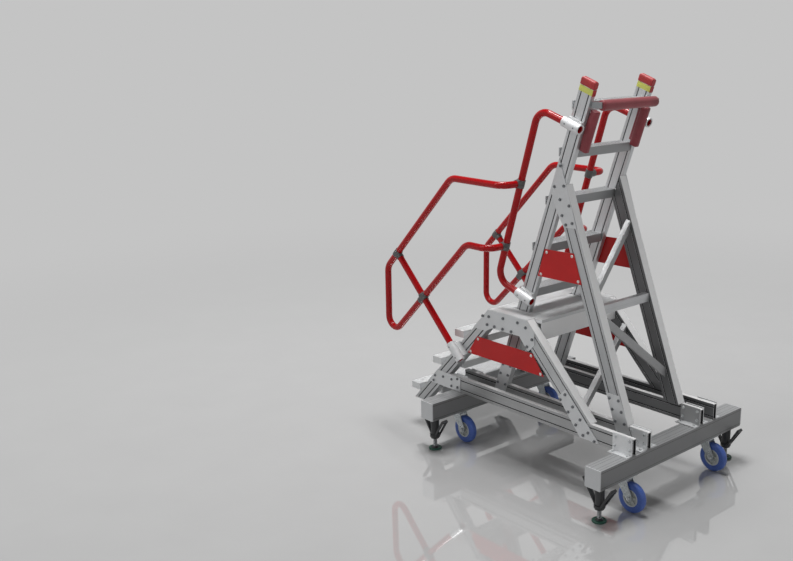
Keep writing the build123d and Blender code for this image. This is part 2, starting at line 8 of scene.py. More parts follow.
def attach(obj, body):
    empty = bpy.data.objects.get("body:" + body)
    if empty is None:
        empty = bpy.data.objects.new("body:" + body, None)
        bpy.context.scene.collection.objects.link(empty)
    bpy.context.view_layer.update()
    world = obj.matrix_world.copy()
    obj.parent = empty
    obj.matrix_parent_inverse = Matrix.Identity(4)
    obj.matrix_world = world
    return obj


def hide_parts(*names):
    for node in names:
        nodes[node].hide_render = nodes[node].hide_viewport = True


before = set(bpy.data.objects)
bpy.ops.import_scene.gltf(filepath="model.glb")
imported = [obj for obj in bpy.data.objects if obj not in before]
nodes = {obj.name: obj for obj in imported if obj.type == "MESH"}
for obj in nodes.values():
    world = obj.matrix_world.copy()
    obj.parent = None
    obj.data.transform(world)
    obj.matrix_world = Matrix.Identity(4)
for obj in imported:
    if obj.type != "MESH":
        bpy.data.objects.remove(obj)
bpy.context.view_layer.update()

X_SHIFT = 381.0          # the working X of the drawings, moved to the middle of the whole box


def W(x, y, z):
    """A point of the drawings, in mm, as metres in the row frame."""
    return Vector(((x - X_SHIFT) / 1000.0, y / 1000.0, z / 1000.0))


# ===================================================================== materials
class Net:
    """A small helper to write a node material."""

    def __init__(self, name):
        self.mat = bpy.data.materials.new(name)
        self.mat.use_nodes = True
        self.t = self.mat.node_tree
        self.b = self.t.nodes["Principled BSDF"]
        self.coord = self.t.nodes.new("ShaderNodeTexCoord").outputs["Object"]

    def node(self, kind, **values):
        n = self.t.nodes.new(kind)
        for k, v in values.items():
            setattr(n, k, v)
        return n

    def link(self, a, b):
        self.t.links.new(a, b)

    def put(self, socket, value):
        if isinstance(value, bpy.types.NodeSocket):
            self.link(value, socket)
        else:
            socket.default_value = value

    def mapping(self, euler=(0, 0, 0), scale=(1, 1, 1), source=None):
        """Turned by euler first, and then stretched by scale."""
        n = self.node("ShaderNodeMapping", vector_type="TEXTURE")
        n.inputs["Rotation"].default_value = euler
        n.inputs["Scale"].default_value = [1.0 / s for s in scale]
        self.link(source or self.coord, n.inputs["Vector"])
        return n.outputs["Vector"]

    def noise(self, vector, scale, detail=3.0, rough=0.55, distortion=0.0):
        n = self.node("ShaderNodeTexNoise")
        n.inputs["Scale"].default_value = scale
        n.inputs["Detail"].default_value = detail
        n.inputs["Roughness"].default_value = rough
        n.inputs["Distortion"].default_value = distortion
        self.link(vector or self.coord, n.inputs["Vector"])
        return n.outputs["Fac"]

    def voronoi(self, vector, scale, feature="F1", out="Distance"):
        n = self.node("ShaderNodeTexVoronoi", feature=feature)
        n.inputs["Scale"].default_value = scale
        self.link(vector or self.coord, n.inputs["Vector"])
        return n.outputs[out]

    def ramp(self, fac, a, b, lo=0.0, hi=1.0):
        """A map of fac from lo..hi onto a..b, for numbers."""
        n = self.node("ShaderNodeMapRange")
        n.inputs["From Min"].default_value = lo
        n.inputs["From Max"].default_value = hi
        n.inputs["To Min"].default_value = a
        n.inputs["To Max"].default_value = b
        self.link(fac, n.inputs["Value"])
        return n.outputs["Result"]

    def math(self, op, a, b=0.0, clamp=False):
        n = self.node("ShaderNodeMath", operation=op, use_clamp=clamp)
        self.put(n.inputs[0], a)
        self.put(n.inputs[1], b)
        return n.outputs[0]

    def mix(self, fac, a, b):
        n = self.node("ShaderNodeMix", data_type="RGBA")
        self.put(n.inputs[0], fac)
        for socket, v in ((n.inputs[6], a), (n.inputs[7], b)):
            if isinstance(v, bpy.types.NodeSocket):
                self.link(v, socket)
            else:
                socket.default_value = (*v, 1.0)
        return n.outputs[2]

    def bump(self, height, strength, distance=0.001, normal=None):
        n = self.node("ShaderNodeBump")
        n.inputs["Strength"].default_value = strength
        n.inputs["Distance"].default_value = distance
        self.link(height, n.inputs["Height"])
        if normal is not None:
            self.link(normal, n.inputs["Normal"])
        return n.outputs["Normal"]

    def bevel(self, radius):
        n = self.node("ShaderNodeBevel", samples=4)
        n.inputs["Radius"].default_value = radius
        return n.outputs["Normal"]

    def edge(self, radius):
        """About 1 on a sharp edge and 0 on a flat face."""
        round_n = self.bevel(radius)
        g = self.node("ShaderNodeNewGeometry")
        d = self.node("ShaderNodeVectorMath", operation="DOT_PRODUCT")
        self.link(round_n, d.inputs[0])
        self.link(g.outputs["Normal"], d.inputs[1])
        return self.ramp(d.outputs["Value"], 1.0, 0.0, 0.80, 0.995)

    def set(self, **values):
        for k, v in values.items():
            k = k.replace("_", " ")
            if k in ("Base Color",) and isinstance(v, tuple):
                v = (*v, 1.0)
            self.put(self.b.inputs[k], v)
        return self


def along(dx, dz):
    """The turn that lays a texture's first axis along a member in X and Z."""
    return (0.0, math.atan2(-dz, dx), 0.0)


ALONG_X = (0.0, 0.0, 0.0)
ALONG_Y = (0.0, 0.0, math.pi / 2)


def extruded(name, euler, faces=None, base=(0.62, 0.63, 0.64), inside=None, upward=None, forward=None, low_shade=0.30,
             metal=0.72, beams=None):
    """Mill-finish extruded aluminium: fine lines along the member, a faint
    mottle of handling, painted shade low down, painted shade in the slots where faces gives
    the two side faces, and lighter edges that are partly a painted highlight. inside, upward and
    forward are painted light and shade: the tones of the faces that look to the middle, up and to the front, where they
    differ."""
    m = Net(name)
    long = m.mapping(euler, (1.6, 210.0, 210.0))
    fine = m.mapping(euler, (9.0, 1500.0, 1500.0))
    streak = m.noise(long, 1.0, 4.0, 0.6)
    hair = m.noise(fine, 1.0, 2.0, 0.6)
    mottle = m.noise(None, 7.0, 4.0, 0.6)
    scuff = m.noise(m.mapping((0.5, 0.9, 0.3), (14, 90, 14)), 1.0, 3.0, 0.7)
    tone = m.mix(m.ramp(streak, 0, 1, 0.32, 0.70), tuple(c * 0.90 for c in base), tuple(min(1, c * 1.08) for c in base))
    tone = m.mix(m.ramp(mottle, 0.0, 0.22, 0.45, 0.75), tone, tuple(c * 0.80 for c in base))
    tone = m.mix(m.ramp(scuff, 0.0, 0.35, 0.66, 0.80), tone, (0.86, 0.86, 0.86))
    # lighter sharp edges: partly polished edges, partly a painted highlight
    edge = m.edge(0.0016)
    tone = m.mix(m.math("MULTIPLY", edge, 0.55), tone, (0.90, 0.90, 0.90))
    rough = m.ramp(streak, 0.30, 0.46, 0.25, 0.75)
    rough = m.math("ADD", rough, m.ramp(mottle, 0.0, 0.10, 0.4, 0.8))
    s = m.node("ShaderNodeSeparateXYZ")
    m.link(m.coord, s.inputs[0])
    y = m.math("ABSOLUTE", s.outputs["Y"])
    g = m.node("ShaderNodeNewGeometry")
    gn = m.node("ShaderNodeSeparateXYZ")
    m.link(g.outputs["True Normal"], gn.inputs[0])
    # painted shade near the floor: the member turns darker towards the bottom, in mottled patches
    if low_shade:
        low = m.ramp(s.outputs["Z"], low_shade, 0.0, 0.20, 1.25)
        patch = m.math("MULTIPLY", low, m.ramp(mottle, 0.75, 1.0, 0.3, 0.7))
        tone = m.mix(patch, tone, (0.10, 0.10, 0.10))
    # painted shade on the faces that look to the middle of the frame
    if inside:
        inward = m.math("LESS_THAN", m.math("MULTIPLY", gn.outputs["Y"], s.outputs["Y"]), -0.10)
        tone = m.mix(m.math("MULTIPLY", inward, 0.85), tone, inside)
    # painted light and shade on the faces that look to the front: a lighter tone on some members, a darker one on
    # others
    if forward:
        ahead = m.math("GREATER_THAN", gn.outputs["X"], 0.7)
        tone = m.mix(m.math("MULTIPLY", ahead, 0.85), tone, forward)
        metal = m.math("MULTIPLY", metal, m.ramp(ahead, 1.0, 0.30))
    # painted light and shade on the faces that look up: a painted highlight on the rails, painted shade on the
    # crossbeams
    if upward:
        up = m.math("GREATER_THAN", gn.outputs["Z"], 0.9)
        tone = m.mix(m.math("MULTIPLY", up, 0.85), tone, upward)
        metal = m.math("MULTIPLY", metal, m.ramp(up, 1.0, 0.20))
    # painted shade in the slots: the recessed side faces are darkened
    if faces:
        inner, outer = faces
        facing = m.math("GREATER_THAN", m.math("ABSOLUTE", gn.outputs["Y"]), 0.9)
        recessed = m.math("MULTIPLY", m.math("LESS_THAN", y, outer - 0.0008),
                          m.math("GREATER_THAN", y, inner + 0.0008))
        slot = m.math("MULTIPLY", facing, recessed)
        tone = m.mix(slot, tone, (0.018, 0.019, 0.021))
        rough = m.math("ADD", rough, m.math("MULTIPLY", slot, 0.3))
        metal = m.math("MULTIPLY", metal, m.ramp(slot, 1.0, 0.0))
    height = m.math("ADD", m.math("MULTIPLY", hair, 0.5), streak)
    if beams:
        # fine slots along a crossbeam, painted as dark lines of shade over a sunk bump: on its top
        # by the distance from the beam's middle, on its upright faces by height
        a, b = (m.math("ABSOLUTE", m.math("SUBTRACT", s.outputs["X"], x)) for x in beams)
        off = m.math("MINIMUM", a, b)
        top = m.math("GREATER_THAN", m.math("ABSOLUTE", gn.outputs["Z"]), 0.9)
        side = m.math("GREATER_THAN", m.math("ABSOLUTE", gn.outputs["X"]), 0.9)
        lines = None
        for value, places, where in ((off, (0.0150, 0.0345), top), (s.outputs["Z"], (0.2035, 0.2815), side)):
            for place in places:
                near = m.math("LESS_THAN", m.math("ABSOLUTE", m.math("SUBTRACT", value, place)), 0.0011)
                near = m.math("MULTIPLY", near, where)
                lines = near if lines is None else m.math("ADD", lines, near)
        tone = m.mix(m.math("MULTIPLY", lines, 0.8), tone, (0.03, 0.03, 0.032))
        height = m.math("SUBTRACT", height, m.math("MULTIPLY", lines, 3.0))
    m.set(Base_Color=tone, Metallic=metal, Roughness=rough,
          Normal=m.bump(height, 0.16, 0.0004, m.bevel(0.0012)))
    return m.mat


def plate_metal(name, base=(0.60, 0.61, 0.62), metal=0.6, grain=(600, 40, 600), rough=(0.36, 0.52), inside=None):
    """Cut sheet or plate: a directional sanded grain and brighter cut edges, partly a painted highlight; inside gives
    painted shade to the faces that look to the middle.
    """
    m = Net(name)
    g = m.noise(m.mapping((0, 0.4, 0), grain), 1.0, 3.0, 0.6)
    blotch = m.noise(None, 11.0, 4.0, 0.6)
    scratch = m.noise(m.mapping((0.2, 0.7, 0.1), (8, 300, 300)), 1.0, 2.0, 0.5)
    tone = m.mix(m.ramp(g, 0, 1, 0.3, 0.7), tuple(c * 0.93 for c in base), tuple(min(1, c * 1.06) for c in base))
    tone = m.mix(m.ramp(blotch, 0.0, 0.20, 0.45, 0.75), tone, tuple(c * 0.80 for c in base))
    tone = m.mix(m.ramp(scratch, 0.0, 0.4, 0.68, 0.78), tone, (0.85, 0.85, 0.86))
    # painted shade on the faces that look to the middle
    if inside:
        s = m.node("ShaderNodeSeparateXYZ")
        m.link(m.coord, s.inputs[0])
        n = m.node("ShaderNodeNewGeometry")
        gn = m.node("ShaderNodeSeparateXYZ")
        m.link(n.outputs["True Normal"], gn.inputs[0])
        inward = m.math("LESS_THAN", m.math("MULTIPLY", gn.outputs["Y"], s.outputs["Y"]), -0.10)
        tone = m.mix(m.math("MULTIPLY", inward, 0.8), tone, inside)
    # lighter cut edges: partly bright cut metal, partly a painted highlight
    tone = m.mix(m.math("MULTIPLY", m.edge(0.0014), 0.6), tone, (0.88, 0.88, 0.88))
    m.set(Base_Color=tone, Metallic=metal, Roughness=m.ramp(g, rough[0], rough[1], 0.3, 0.7),
          Normal=m.bump(m.math("ADD", g, m.math("MULTIPLY", scratch, 0.4)), 0.14, 0.0004, m.bevel(0.0010)))
    return m.mat


def cast_metal(name, base, metal=0.45, grain=900.0, rough=(0.38, 0.55), bump=0.25):
    m = Net(name)
    fine = m.noise(None, grain, 3.0, 0.6)
    blotch = m.noise(None, 18.0, 4.0, 0.6)
    tone = m.mix(m.ramp(blotch, 0, 1, 0.3, 0.75), tuple(min(1, c * 1.05) for c in base), tuple(c * 0.85 for c in base))
    # lighter sharp edges: partly polished edges, partly a painted highlight
    tone = m.mix(m.math("MULTIPLY", m.edge(0.0016), 0.5), tone, tuple(min(1, c * 1.5) for c in base))
    m.set(Base_Color=tone, Metallic=metal, Roughness=m.ramp(fine, rough[0], rough[1], 0.3, 0.7),
          Normal=m.bump(fine, bump, 0.0004, m.bevel(0.0014)))
    return m.mat


def painted(name, base, rough=0.28, coat=0.5, peel=0.10, worn=(0.55, 0.55, 0.55), wear=0.5, dust=0.03, sheen=0.5):
    """Paint or powder coat with orange peel, faint dust and worn sharp edges."""
    m = Net(name)
    skin = m.noise(None, 520.0, 2.0, 0.5)
    broad = m.noise(None, 5.0, 3.0, 0.6)
    patchy = m.noise(None, 70.0, 4.0, 0.7)
    tone = m.mix(m.ramp(broad, 0, 1, 0.3, 0.7), tuple(c * 0.90 for c in base), tuple(min(1, c * 1.08) for c in base))
    tone = m.mix(m.ramp(patchy, 0.0, dust, 0.55, 0.85), tone, (0.5, 0.46, 0.44))
    chip = m.math("MULTIPLY", m.edge(0.0011), m.ramp(patchy, 0.0, wear, 0.52, 0.62))
    tone = m.mix(chip, tone, worn)
    m.set(Base_Color=tone, Metallic=0.0, Roughness=m.ramp(patchy, rough * 0.85, rough * 1.35, 0.3, 0.8),
          Coat_Weight=coat, Coat_Roughness=0.10, Specular_IOR_Level=sheen,
          Normal=m.bump(skin, peel, 0.0004, m.bevel(0.0012)))
    return m.mat


def foam_skin(name, base):
    """Vinyl-coated foam: pores, a soft leathery grain and faint dusty scuffs."""
    m = Net(name)
    pores = m.voronoi(None, 620.0)
    grain = m.noise(None, 210.0, 4.0, 0.65)
    broad = m.noise(None, 9.0, 4.0, 0.6)
    tone = m.mix(m.ramp(broad, 0, 1, 0.3, 0.7), tuple(c * 0.82 for c in base), tuple(min(1, c * 1.15) for c in base))
    tone = m.mix(m.ramp(grain, 0.0, 0.16, 0.5, 0.75), tone, (0.42, 0.20, 0.20))
    height = m.math("ADD", grain, m.math("MULTIPLY", m.ramp(pores, 0, 1, 0.0, 0.35), 0.7))
    m.set(Base_Color=tone, Roughness=m.ramp(grain, 0.40, 0.60, 0.3, 0.75),
          Sheen_Weight=0.25, Sheen_Roughness=0.4, Normal=m.bump(height, 0.35, 0.0006))
    return m.mat


def rubber(name, base, rough=(0.38, 0.60), grain=420.0, bump=0.25, wear=(0.45, 0.50, 0.60), amount=0.18):
    m = Net(name)
    fine = m.noise(None, grain, 3.0, 0.6)
    marks = m.noise(m.mapping((0.3, 0.2, 0.9), (60, 60, 160)), 1.0, 4.0, 0.7)
    tone = m.mix(m.ramp(fine, 0, 1, 0.3, 0.7), tuple(c * 0.88 for c in base), tuple(min(1, c * 1.1) for c in base))
    tone = m.mix(m.ramp(marks, 0.0, amount, 0.5, 0.75), tone, wear)
    m.set(Base_Color=tone, Roughness=m.ramp(fine, rough[0], rough[1], 0.3, 0.7),
          Normal=m.bump(fine, bump, 0.0004))
    return m.mat


def galvanised(name, base=(0.52, 0.55, 0.56)):
    """Zinc-plated steel with a faint spangle."""
    m = Net(name)
    cells = m.voronoi(None, 130.0, "F1", "Color")
    sep = m.node("ShaderNodeSeparateColor")
    m.link(cells, sep.inputs[0])
    fine = m.noise(None, 500.0, 3.0, 0.6)
    tone = m.mix(sep.outputs[0], tuple(c * 0.86 for c in base), tuple(min(1, c * 1.12) for c in base))
    # lighter sharp edges: partly polished edges, partly a painted highlight
    tone = m.mix(m.math("MULTIPLY", m.edge(0.0012), 0.5), tone, (0.85, 0.86, 0.86))
    m.set(Base_Color=tone, Metallic=0.85, Roughness=m.ramp(sep.outputs[1], 0.26, 0.42),
          Normal=m.bump(fine, 0.08, 0.0004, m.bevel(0.0010)))
    return m.mat


def reflective_tape(name, base):
    """Retroreflective tape: a fine honeycomb under a clear film."""
    m = Net(name)
    cells = m.voronoi(None, 900.0, "DISTANCE_TO_EDGE")
    line = m.ramp(cells, 1.0, 0.0, 0.0, 0.12)
    wide = m.noise(None, 40.0, 3.0, 0.6)
    tone = m.mix(m.math("MULTIPLY", line, 0.35), base, (0.80, 0.82, 0.45))
    tone = m.mix(m.ramp(wide, 0.0, 0.20, 0.45, 0.8), tone, (0.40, 0.40, 0.20))
    m.set(Base_Color=tone, Roughness=0.34, Coat_Weight=0.4, Coat_Roughness=0.12,
          Normal=m.bump(line, 0.12, 0.0003))
    return m.mat


def weld_metal(name):
    m = Net(name)
    f = m.noise(None, 160.0, 3.0, 0.6)
    tone = m.mix(m.ramp(f, 0, 1, 0.3, 0.7), (0.50, 0.50, 0.50), (0.72, 0.72, 0.72))
    m.set(Base_Color=tone, Metallic=0.75, Roughness=m.ramp(f, 0.25, 0.42, 0.3, 0.7),
          Normal=m.bump(f, 0.2, 0.0006))
    return m.mat


def grooved_tread(name):
    """Light anodised tread plank with fine ribs, dusted by shoes."""
    m = Net(name)
    grain = m.noise(m.mapping(ALONG_Y, (6, 900, 900)), 1.0, 3.0, 0.6)
    dirt = m.noise(None, 14.0, 5.0, 0.65)
    fine = m.noise(None, 300.0, 3.0, 0.6)
    tone = m.mix(m.ramp(grain, 0, 1, 0.3, 0.7), (0.62, 0.63, 0.635), (0.76, 0.77, 0.775))
    tone = m.mix(m.ramp(dirt, 0.0, 0.30, 0.48, 0.78), tone, (0.47, 0.46, 0.44))
    # lighter sharp edges: partly polished edges, partly a painted highlight
    tone = m.mix(m.math("MULTIPLY", m.edge(0.0012), 0.5), tone, (0.90, 0.90, 0.90))
    m.set(Base_Color=tone, Metallic=0.45, Roughness=m.ramp(fine, 0.36, 0.56, 0.3, 0.7),
          Normal=m.bump(m.math("ADD", grain, m.math("MULTIPLY", fine, 0.5)), 0.16, 0.0004, m.bevel(0.0010)))
    return m.mat


ALU = (0.62, 0.63, 0.64)
STAIR = along(0.955, 1.0)
LADDER = along(0.349, 1.0)
LEG = along(-0.382, 1.0)
BACK = along(-1.0, 1.0)
# |y| of the inner and outer side faces; the slots between them get painted shade
OUTER = (0.306, 0.356)
INNER = (0.188, 0.238)
RAIL_OUT = (0.330, 0.356)
RAIL_IN = (0.212, 0.238)
STRINGER = (0.212, 0.238)
# painted shade for faces that look to the middle, and a painted highlight for faces that look up or to the front
PAINTED_SHADE_IN, PAINTED_HIGHLIGHT = (0.13, 0.132, 0.135), (0.88, 0.88, 0.88)

MATERIALS = {
    # crossbeams: painted shade on the top and front faces, and painted shade lines for the slots
    "crossbeams": extruded("alu_crossbeam", ALONG_Y, base=(0.36, 0.365, 0.37), upward=(0.34, 0.345, 0.35),
                           forward=(0.20, 0.202, 0.205),
                           beams=(-0.381, 0.843)),
    # base rails: painted shade on the inner faces, a painted highlight on the tops
    "outer_base_rails": extruded("alu_outer_rail", ALONG_X, RAIL_OUT, (0.50, 0.505, 0.51), PAINTED_SHADE_IN, PAINTED_HIGHLIGHT),
    "inner_base_rails": extruded("alu_inner_rail", ALONG_X, RAIL_IN, (0.50, 0.505, 0.51), PAINTED_SHADE_IN, PAINTED_HIGHLIGHT),
    "stair_stringers": extruded("alu_stair_stringer", STAIR, OUTER),
    # back legs: painted shade on the inner faces, a painted highlight on the front faces
    "back_legs": extruded("alu_back_leg", BACK, OUTER, inside=PAINTED_SHADE_IN, forward=(0.98, 0.98, 0.98)),
    # platform side beams: painted shade on the inner faces
    "platform_side_beams": extruded("alu_side_beam", ALONG_X, inside=PAINTED_SHADE_IN),
    # platform front beam: a painted highlight on the front face
    "platform_front_beam": extruded("alu_front_beam", ALONG_Y, base=(0.70, 0.71, 0.715), forward=(0.98, 0.98, 0.98),
                                    metal=0.5),
    "ladder_stringers": extruded("alu_ladder_stringer", LADDER, STRINGER),
    # front legs: painted shade on the inner faces, a painted highlight on the front faces
    "front_legs": extruded("alu_front_leg", LEG, INNER, base=(0.52, 0.53, 0.54), inside=PAINTED_SHADE_IN, forward=PAINTED_HIGHLIGHT),
    "leg_diagonal_braces": extruded("alu_brace", ALONG_Y, base=(0.44, 0.445, 0.45), metal=0.6),
    "leg_cross_bar": extruded("alu_cross_bar", ALONG_Y),
    # corner brackets: a pale base raised as painted light, and painted shade on the inward faces
    "corner_brackets": plate_metal("alu_bracket", (0.74, 0.75, 0.76), 0.4, inside=(0.24, 0.243, 0.246)),
    "knee_plates": plate_metal("alu_knee_plate", (0.64, 0.65, 0.66)),
    "rear_gusset_plates": plate_metal("alu_rear_gusset", (0.64, 0.65, 0.66)),
    "apex_gusset_plates": plate_metal("alu_apex_gusset", (0.64, 0.65, 0.66)),
    "leg_splice_plates": plate_metal("alu_splice", (0.66, 0.67, 0.68)),
    "foam_roll_brackets": plate_metal("alu_roll_bracket", (0.30, 0.31, 0.32)),
    "stair_treads": grooved_tread("alu_tread"),
    "platform_deck": grooved_tread("alu_deck"),
    # ladder rungs: painted shade on the front faces
    "ladder_rungs": extruded("alu_rung", ALONG_Y, base=(0.60, 0.61, 0.62), forward=(0.26, 0.265, 0.27)),
    "ladder_top_shelf": extruded("alu_shelf", ALONG_Y, base=(0.60, 0.61, 0.62)),
    "upper_sign_plates": painted("paint_sign", (0.48, 0.010, 0.010), rough=0.34, coat=0.10, wear=0.3, sheen=0.25),
    "ladder_handrails": painted("paint_rail", (0.36, 0.001, 0.003), rough=0.20, coat=0.18, peel=0.05, wear=0.15, dust=0.012, sheen=0.22),
    "ladder_rail_blocks": cast_metal("cast_block", (0.70, 0.71, 0.72), 0.35),
    "handrail_clamps": cast_metal("cast_clamp", (0.13, 0.125, 0.125), 0.6),
    "stair_rail_sockets": cast_metal("cast_socket", (0.70, 0.71, 0.72), 0.35),
    "crossbeam_end_caps": rubber("plastic_end_cap", (0.52, 0.53, 0.54), (0.35, 0.5), 700.0, 0.15, (0.70, 0.70, 0.70), 0.12),
    "caster_plates": galvanised("zinc_plate"),
    "jack_bodies": painted("black_jack", (0.022, 0.023, 0.025), rough=0.42, coat=0.1, peel=0.2, worn=(0.35, 0.35, 0.35)),
}
MATERIALS["lower_sign_plates"] = MATERIALS["upper_sign_plates"]
for n in ("handrail_cross_tubes", "stair_handrail_right", "stair_handrail_left"):
    MATERIALS[n] = MATERIALS["ladder_handrails"]
MATERIALS["jack_pedals"] = MATERIALS["jack_bodies"]
fork_mat = galvanised("zinc_fork", (0.46, 0.49, 0.50))
axle_mat = galvanised("zinc_axle", (0.66, 0.68, 0.69))
tyre_mat = rubber("blue_tyre", (0.055, 0.115, 0.40), (0.30, 0.50), 350.0, 0.18, (0.16, 0.22, 0.50), 0.30)
hub_mat = cast_metal("grey_hub", (0.56, 0.58, 0.57), 0.35, 700.0)
steel_mat = galvanised("zinc_bolt", (0.62, 0.64, 0.65))
dark_bolt = cast_metal("bolt_dark", (0.20, 0.21, 0.22), 0.8, 900.0, (0.28, 0.42), 0.12)
white_bolt = cast_metal("bolt_white", (0.82, 0.82, 0.80), 0.25, 900.0, (0.30, 0.42), 0.10)
foam_mat = foam_skin("foam_red", (0.235, 0.030, 0.040))
cap_mat = foam_skin("cap_red", (0.36, 0.016, 0.018))
tape_mat = reflective_tape("tape_yellow", (0.60, 0.62, 0.075))
green_mat = rubber("green_pad", (0.012, 0.075, 0.050), (0.40, 0.60), 500.0, 0.3, (0.08, 0.14, 0.11), 0.25)
black_mat = MATERIALS["jack_bodies"]
thread_mat = galvanised("zinc_thread", (0.30, 0.31, 0.32))
weld_mat = weld_metal("weld_alu")

for name, node in nodes.items():
    mat = MATERIALS.get(name)
    if name.startswith("caster_fork"):
        mat = fork_mat
    elif name.startswith("caster_axle"):
        mat = axle_mat
    elif name.startswith("wheel_tyre"):
        mat = tyre_mat
    elif name.startswith("wheel_hub"):
        mat = hub_mat
    elif name.startswith("jack_foot"):
        mat = green_mat
    elif name in ("stringer_caps", "head_foam_roll", "side_foam_pads"):
        mat = foam_mat
    if node.data.materials:
        for i in range(len(node.data.materials)):
            node.data.materials[i] = mat
    else:
        node.data.materials.append(mat)


# ===================================================================== mesh helpers
def piece(name, bm, mat, body, smooth=40.0):
    """A finished mesh as its own object, riding on a body."""
    bmesh.ops.recalc_face_normals(bm, faces=bm.faces)
    mesh = bpy.data.meshes.new(name)
    bm.to_mesh(mesh)
    bm.free()
    obj = bpy.data.objects.new(name, mesh)
    bpy.context.scene.collection.objects.link(obj)
    mesh.materials.append(mat)
    if smooth:
        mesh.shade_smooth()
        mesh.set_sharp_from_angle(angle=math.radians(smooth))
    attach(obj, body)
    return obj


def frame_on(axis):
    """A turn that takes Z to axis."""
    return Vector(axis).normalized().to_track_quat("Z", "Y").to_matrix().to_4x4()


def lathe(bm, profile, centre, axis, steps=32, sides=None):
    """A turned piece: profile rows are (radius, height) in metres, open at
    neither end when the first and last radius are 0."""
    place = Matrix.Translation(centre) @ frame_on(axis)
    rings = []
    for r, h in profile:
        if r < 1e-7:
            rings.append([bm.verts.new(place @ Vector((0, 0, h)))])
            continue
        ring = []
        for i in range(steps):
            a = 2 * math.pi * i / steps
            rr = r
            if sides:                      # a flat-sided turned piece, such as a nut
                b = (a % (2 * math.pi / sides)) - math.pi / sides
                rr = r * math.cos(math.pi / sides) / math.cos(b)
            ring.append(bm.verts.new(place @ Vector((rr * math.cos(a), rr * math.sin(a), h))))
        rings.append(ring)
    for a, b in zip(rings, rings[1:]):
        if len(a) == 1 and len(b) == 1:
            continue
        for i in range(steps):
            j = (i + 1) % steps
            if len(a) == 1:
                bm.faces.new((a[0], b[j], b[i]))
            elif len(b) == 1:
                bm.faces.new((a[i], a[j], b[0]))
            else:
                bm.faces.new((a[i], a[j], b[j], b[i]))
    return bm


def slab(bm, corners, normal, thick, ease=0.0):
    """A plate: its outline's corners on one plane, thickened along normal, with
    its upper edge eased."""
    n = Vector(normal).normalized()
    mid = sum(corners, Vector()) / len(corners)
    low = [bm.verts.new(p) for p in corners]
    rows = [low]
    if ease > 0:
        rows.append([bm.verts.new(p + n * (thick - ease)) for p in corners])
        rows.append([bm.verts.new(p + n * thick + (mid - p).normalized() * ease * 1.4) for p in corners])
    else:
        rows.append([bm.verts.new(p + n * thick) for p in corners])
    k = len(corners)
    for a, b in zip(rows, rows[1:]):
        for i in range(k):
            j = (i + 1) % k
            bm.faces.new((a[i], a[j], b[j], b[i]))
    bm.faces.new(list(reversed(low)))
    bm.faces.new(rows[-1])
    return bm


def bolt(bm, point, normal, size=1.0, washer=True, head="hex"):
    """A bolt head with its washer, standing on a face. size 1 is an M8."""
    s = size / 1000.0
    if washer:
        lathe(bm, [(0, 0), (8.2 * s, 0), (8.4 * s, 0.5 * s), (8.0 * s, 1.5 * s), (4.5 * s, 1.6 * s)], point, normal, 20)
    if head == "hex":
        lathe(bm, [(7.2 * s, 1.4 * s), (7.4 * s, 2.0 * s), (7.4 * s, 5.6 * s), (6.5 * s, 6.6 * s), (5.2 * s, 6.9 * s),
                   (4.8 * s, 6.4 * s), (0, 6.3 * s)], point, normal, 24, sides=6)
    else:                                   # a domed head with a hexagon socket
        lathe(bm, [(6.6 * s, 1.2 * s), (6.8 * s, 2.2 * s), (6.2 * s, 3.7 * s), (5.0 * s, 4.7 * s), (3.2 * s, 5.1 * s)],
              point, normal, 24)
        lathe(bm, [(3.2 * s, 5.1 * s), (2.9 * s, 5.0 * s), (2.8 * s, 2.6 * s), (0, 2.5 * s)], point, normal, 24)


# ===================================================================== bolts
# plates: (name, side face |y|, points in X and Z, size, head, material)
PLATE_BOLTS = (
    ("knee_plate_bolts", 360.0, ((208, 796), (256, 800), (367, 812), (364, 752), (243, 752), (477, 812), (537, 797),
                                 (585, 742), (549, 695), (300, 752), (430, 752)), 0.95, "hex", "steel"),
    ("rear_gusset_bolts", 360.0, ((-205, 345), (-132, 355), (-59, 357), (-8, 372), (-61, 316), (-8, 320), (-218, 312)),
     0.85, "hex", "steel"),
    ("back_splice_bolts", 360.0, ((824, 500), (792, 466), (878, 448), (848, 412), (930, 392), (902, 356), (985, 337), (952, 314),
                                  (1028, 303)), 0.9, "hex", "steel"),
    ("front_splice_bolts", 242.0, ((1021, 505), (1080, 505), (1042, 450), (1101, 450), (1064, 392), (1123, 392),
                                   (1086, 334), (1145, 334)), 0.9, "hex", "steel"),
    ("ladder_splice_bolts", 242.0, ((248, 498), (306, 498), (228, 440), (286, 440), (208, 382), (266, 382),
                                    (188, 326), (246, 326)), 0.9, "hex", "steel"),
    ("apex_gusset_bolts", 242.0, ((659, 1652), (620, 1542), (684, 1552), (660, 1480), (722, 1455), (676, 1400), (745, 1368),
                                  (702, 1355)), 0.9, "hex", "steel"),
    ("lower_sign_bolts", 359.0, ((168, 652), (106, 567), (578, 652), (648, 567)), 0.9, "dome", "white"),
    ("upper_sign_bolts", 241.0, ((571, 1192), (747, 1198), (793, 1073), (531, 1068)), 0.9, "dome", "white"),
)
for title, face, points, size, head, kind in PLATE_BOLTS:
    for side, word in ((-1, "right"), (1, "left")):
        bm = bmesh.new()
        for x, z in points:
            bolt(bm, W(x, side * face, z), (0, side, 0), size * 1.1, True, head)
        piece(f"{title}_{word}", bm, white_bolt if kind == "white" else dark_bolt, "frame", 35)

